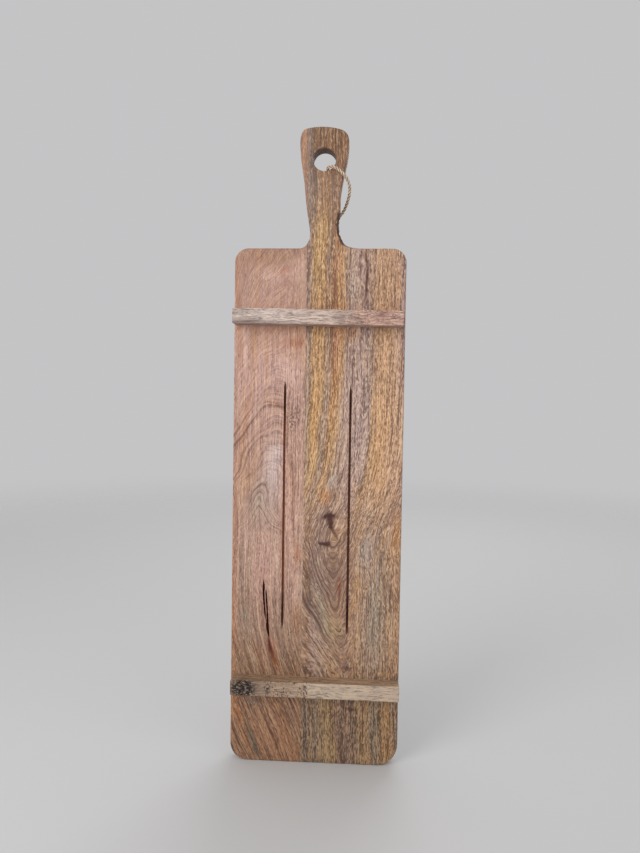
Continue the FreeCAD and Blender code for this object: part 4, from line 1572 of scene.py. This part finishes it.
def grey_bar_wood():
    """The upper bar: greyish, specked to the right, with painted shade along its lower rim."""
    # The upper bar's painted shade on its sides behind the front face.
    side_shade_tone = tone(176, 152, 138)
    graph, colour, height = bar_wood("grey_bar_wood", GREY_BAR_TONES, side_shade_tone, seed=11, strength=1.55)
    x, y, z = graph.x, graph.y, graph.z
    specks = graph.noise(x / 2.2 + z / 2.6, y / 2, z / 1.9 + 4, detail=1).smooth(0.15, 0.7)
    colour = graph.mix(specks * x.smooth(12, 40) * 0.75, colour, tone(112, 78, 68))
    # Painted shade: the bar's lower rim and underside are darkened, as the shadow line under the bar.
    rim = (graph.cloud(22, 5, 4, detail=1) * 2 + z + x * 0.0105).smooth(488, 485)
    colour = graph.mix(rim * 0.5, colour, tone(110, 90, 84))
    colour = paint_spots(graph, colour, x, z, GREY_BAR_STAINS)
    return finish_bar(graph, colour, height)


def pale_bar_wood():
    """The lower bar: browner to the left, with a crumbling knot and scattered dark flecks."""
    # The lower bar's painted shade on its sides, seen as a darker top side.
    side_shade_tone = tone(142, 114, 88)
    graph, colour, height = bar_wood("pale_bar_wood", PALE_BAR_TONES, side_shade_tone, seed=27, strength=1.15)
    x, y, z = graph.x, graph.y, graph.z
    front = y.smooth(-15, -17)
    crumble = graph.noise(x / 2.3, y / 2.4, z / 2, detail=2, roughness=0.75).smooth(-0.75, 0.15)
    knot = graph.math("MINIMUM", graph.spot(x, z, -77, 90, 13, 10) * 1.9, 1) * (front * 0.85 + 0.15)
    colour = graph.mix(knot * 0.35, colour, tone(146, 124, 106))
    colour = graph.mix(crumble * knot, colour, tone(32, 24, 24))
    marked = x.band(-57, -52, -7, -4) * front
    marks = graph.noise(x / 1.5, y / 3, z / 2.6 + 8, detail=1).smooth(0.05, 0.55)
    patches = graph.cloud(6, 6, 9, shift=3).smooth(-0.5, 0.5)
    colour = graph.mix(marks * marked * (patches * 0.70 + 0.25), colour, tone(70, 50, 44))
    left_mark, right_mark = graph.spot(x, z, -49.5, 91, 3, 8), graph.spot(x, z, -9, 91, 2.2, 8)
    ragged = graph.noise(x / 1.4, y / 3, z / 3.4 + 2).smooth(-0.35, 0.25)
    dark_marks = graph.math("MAXIMUM", left_mark, right_mark)
    colour = graph.mix(dark_marks * ragged * 0.95, colour, tone(50, 38, 36))
    return finish_bar(graph, colour, height)


def jute():
    """Undyed jute: fine fibres along each ply, and painted shade on the side of each ply that faces the
    others.
    """
    graph = Graph("jute_twine")
    tex = graph.node("ShaderNodeUVMap", uv_map="along")
    split = graph.node("ShaderNodeSeparateXYZ")
    graph.tree.links.new(tex.outputs[0], split.inputs[0])
    around = Term(graph, split.outputs[0])
    along = Term(graph, split.outputs[1]) / MM
    turn = around * (2 * math.pi)
    ring_radius = 3.2
    ring_x = graph.math("COSINE", turn) * ring_radius
    ring_y = graph.math("SINE", turn) * ring_radius
    fibres = graph.noise(ring_x, ring_y, along / 5, detail=2, roughness=0.6)
    patches = graph.cloud(4, 4, 4, detail=1)
    colour = graph.ramp(fibres + patches * 0.35, JUTE_TONES)
    # Painted shade: each ply is darkened on the side that turns in towards the other plies, where they
    # press together.
    crease_shade = graph.math("COSINE", turn).smooth(0.80, 0.10)
    colour = graph.mix(crease_shade * 0.8, colour, tone(104, 76, 54))
    roughness = fibres * 0.05 + 0.85
    return graph.finish(colour, roughness, fibres, depth=0.2 * MM, strength=0.8)


def dress(piece, material):
    """Gives a piece its one material."""
    piece.data.materials.clear()
    piece.data.materials.append(material)


# ---- the scene

add_camera()
twine_pieces = add_twine()
left_plank, handle_cheek, right_plank = add_board()
upper_bar = add_bar("upper_bar", seed=3, tilt_degrees=0.6)
lower_bar = add_bar("lower_bar", seed=8, tilt_degrees=0.25)
add_stage()

left_wood = pink_wood()
dress(left_plank, left_wood)
dress(handle_cheek, left_wood)
dress(right_plank, golden_wood())
dress(upper_bar, grey_bar_wood())
dress(lower_bar, pale_bar_wood())
twine_material = jute()
for piece in twine_pieces:
    dress(piece, twine_material)
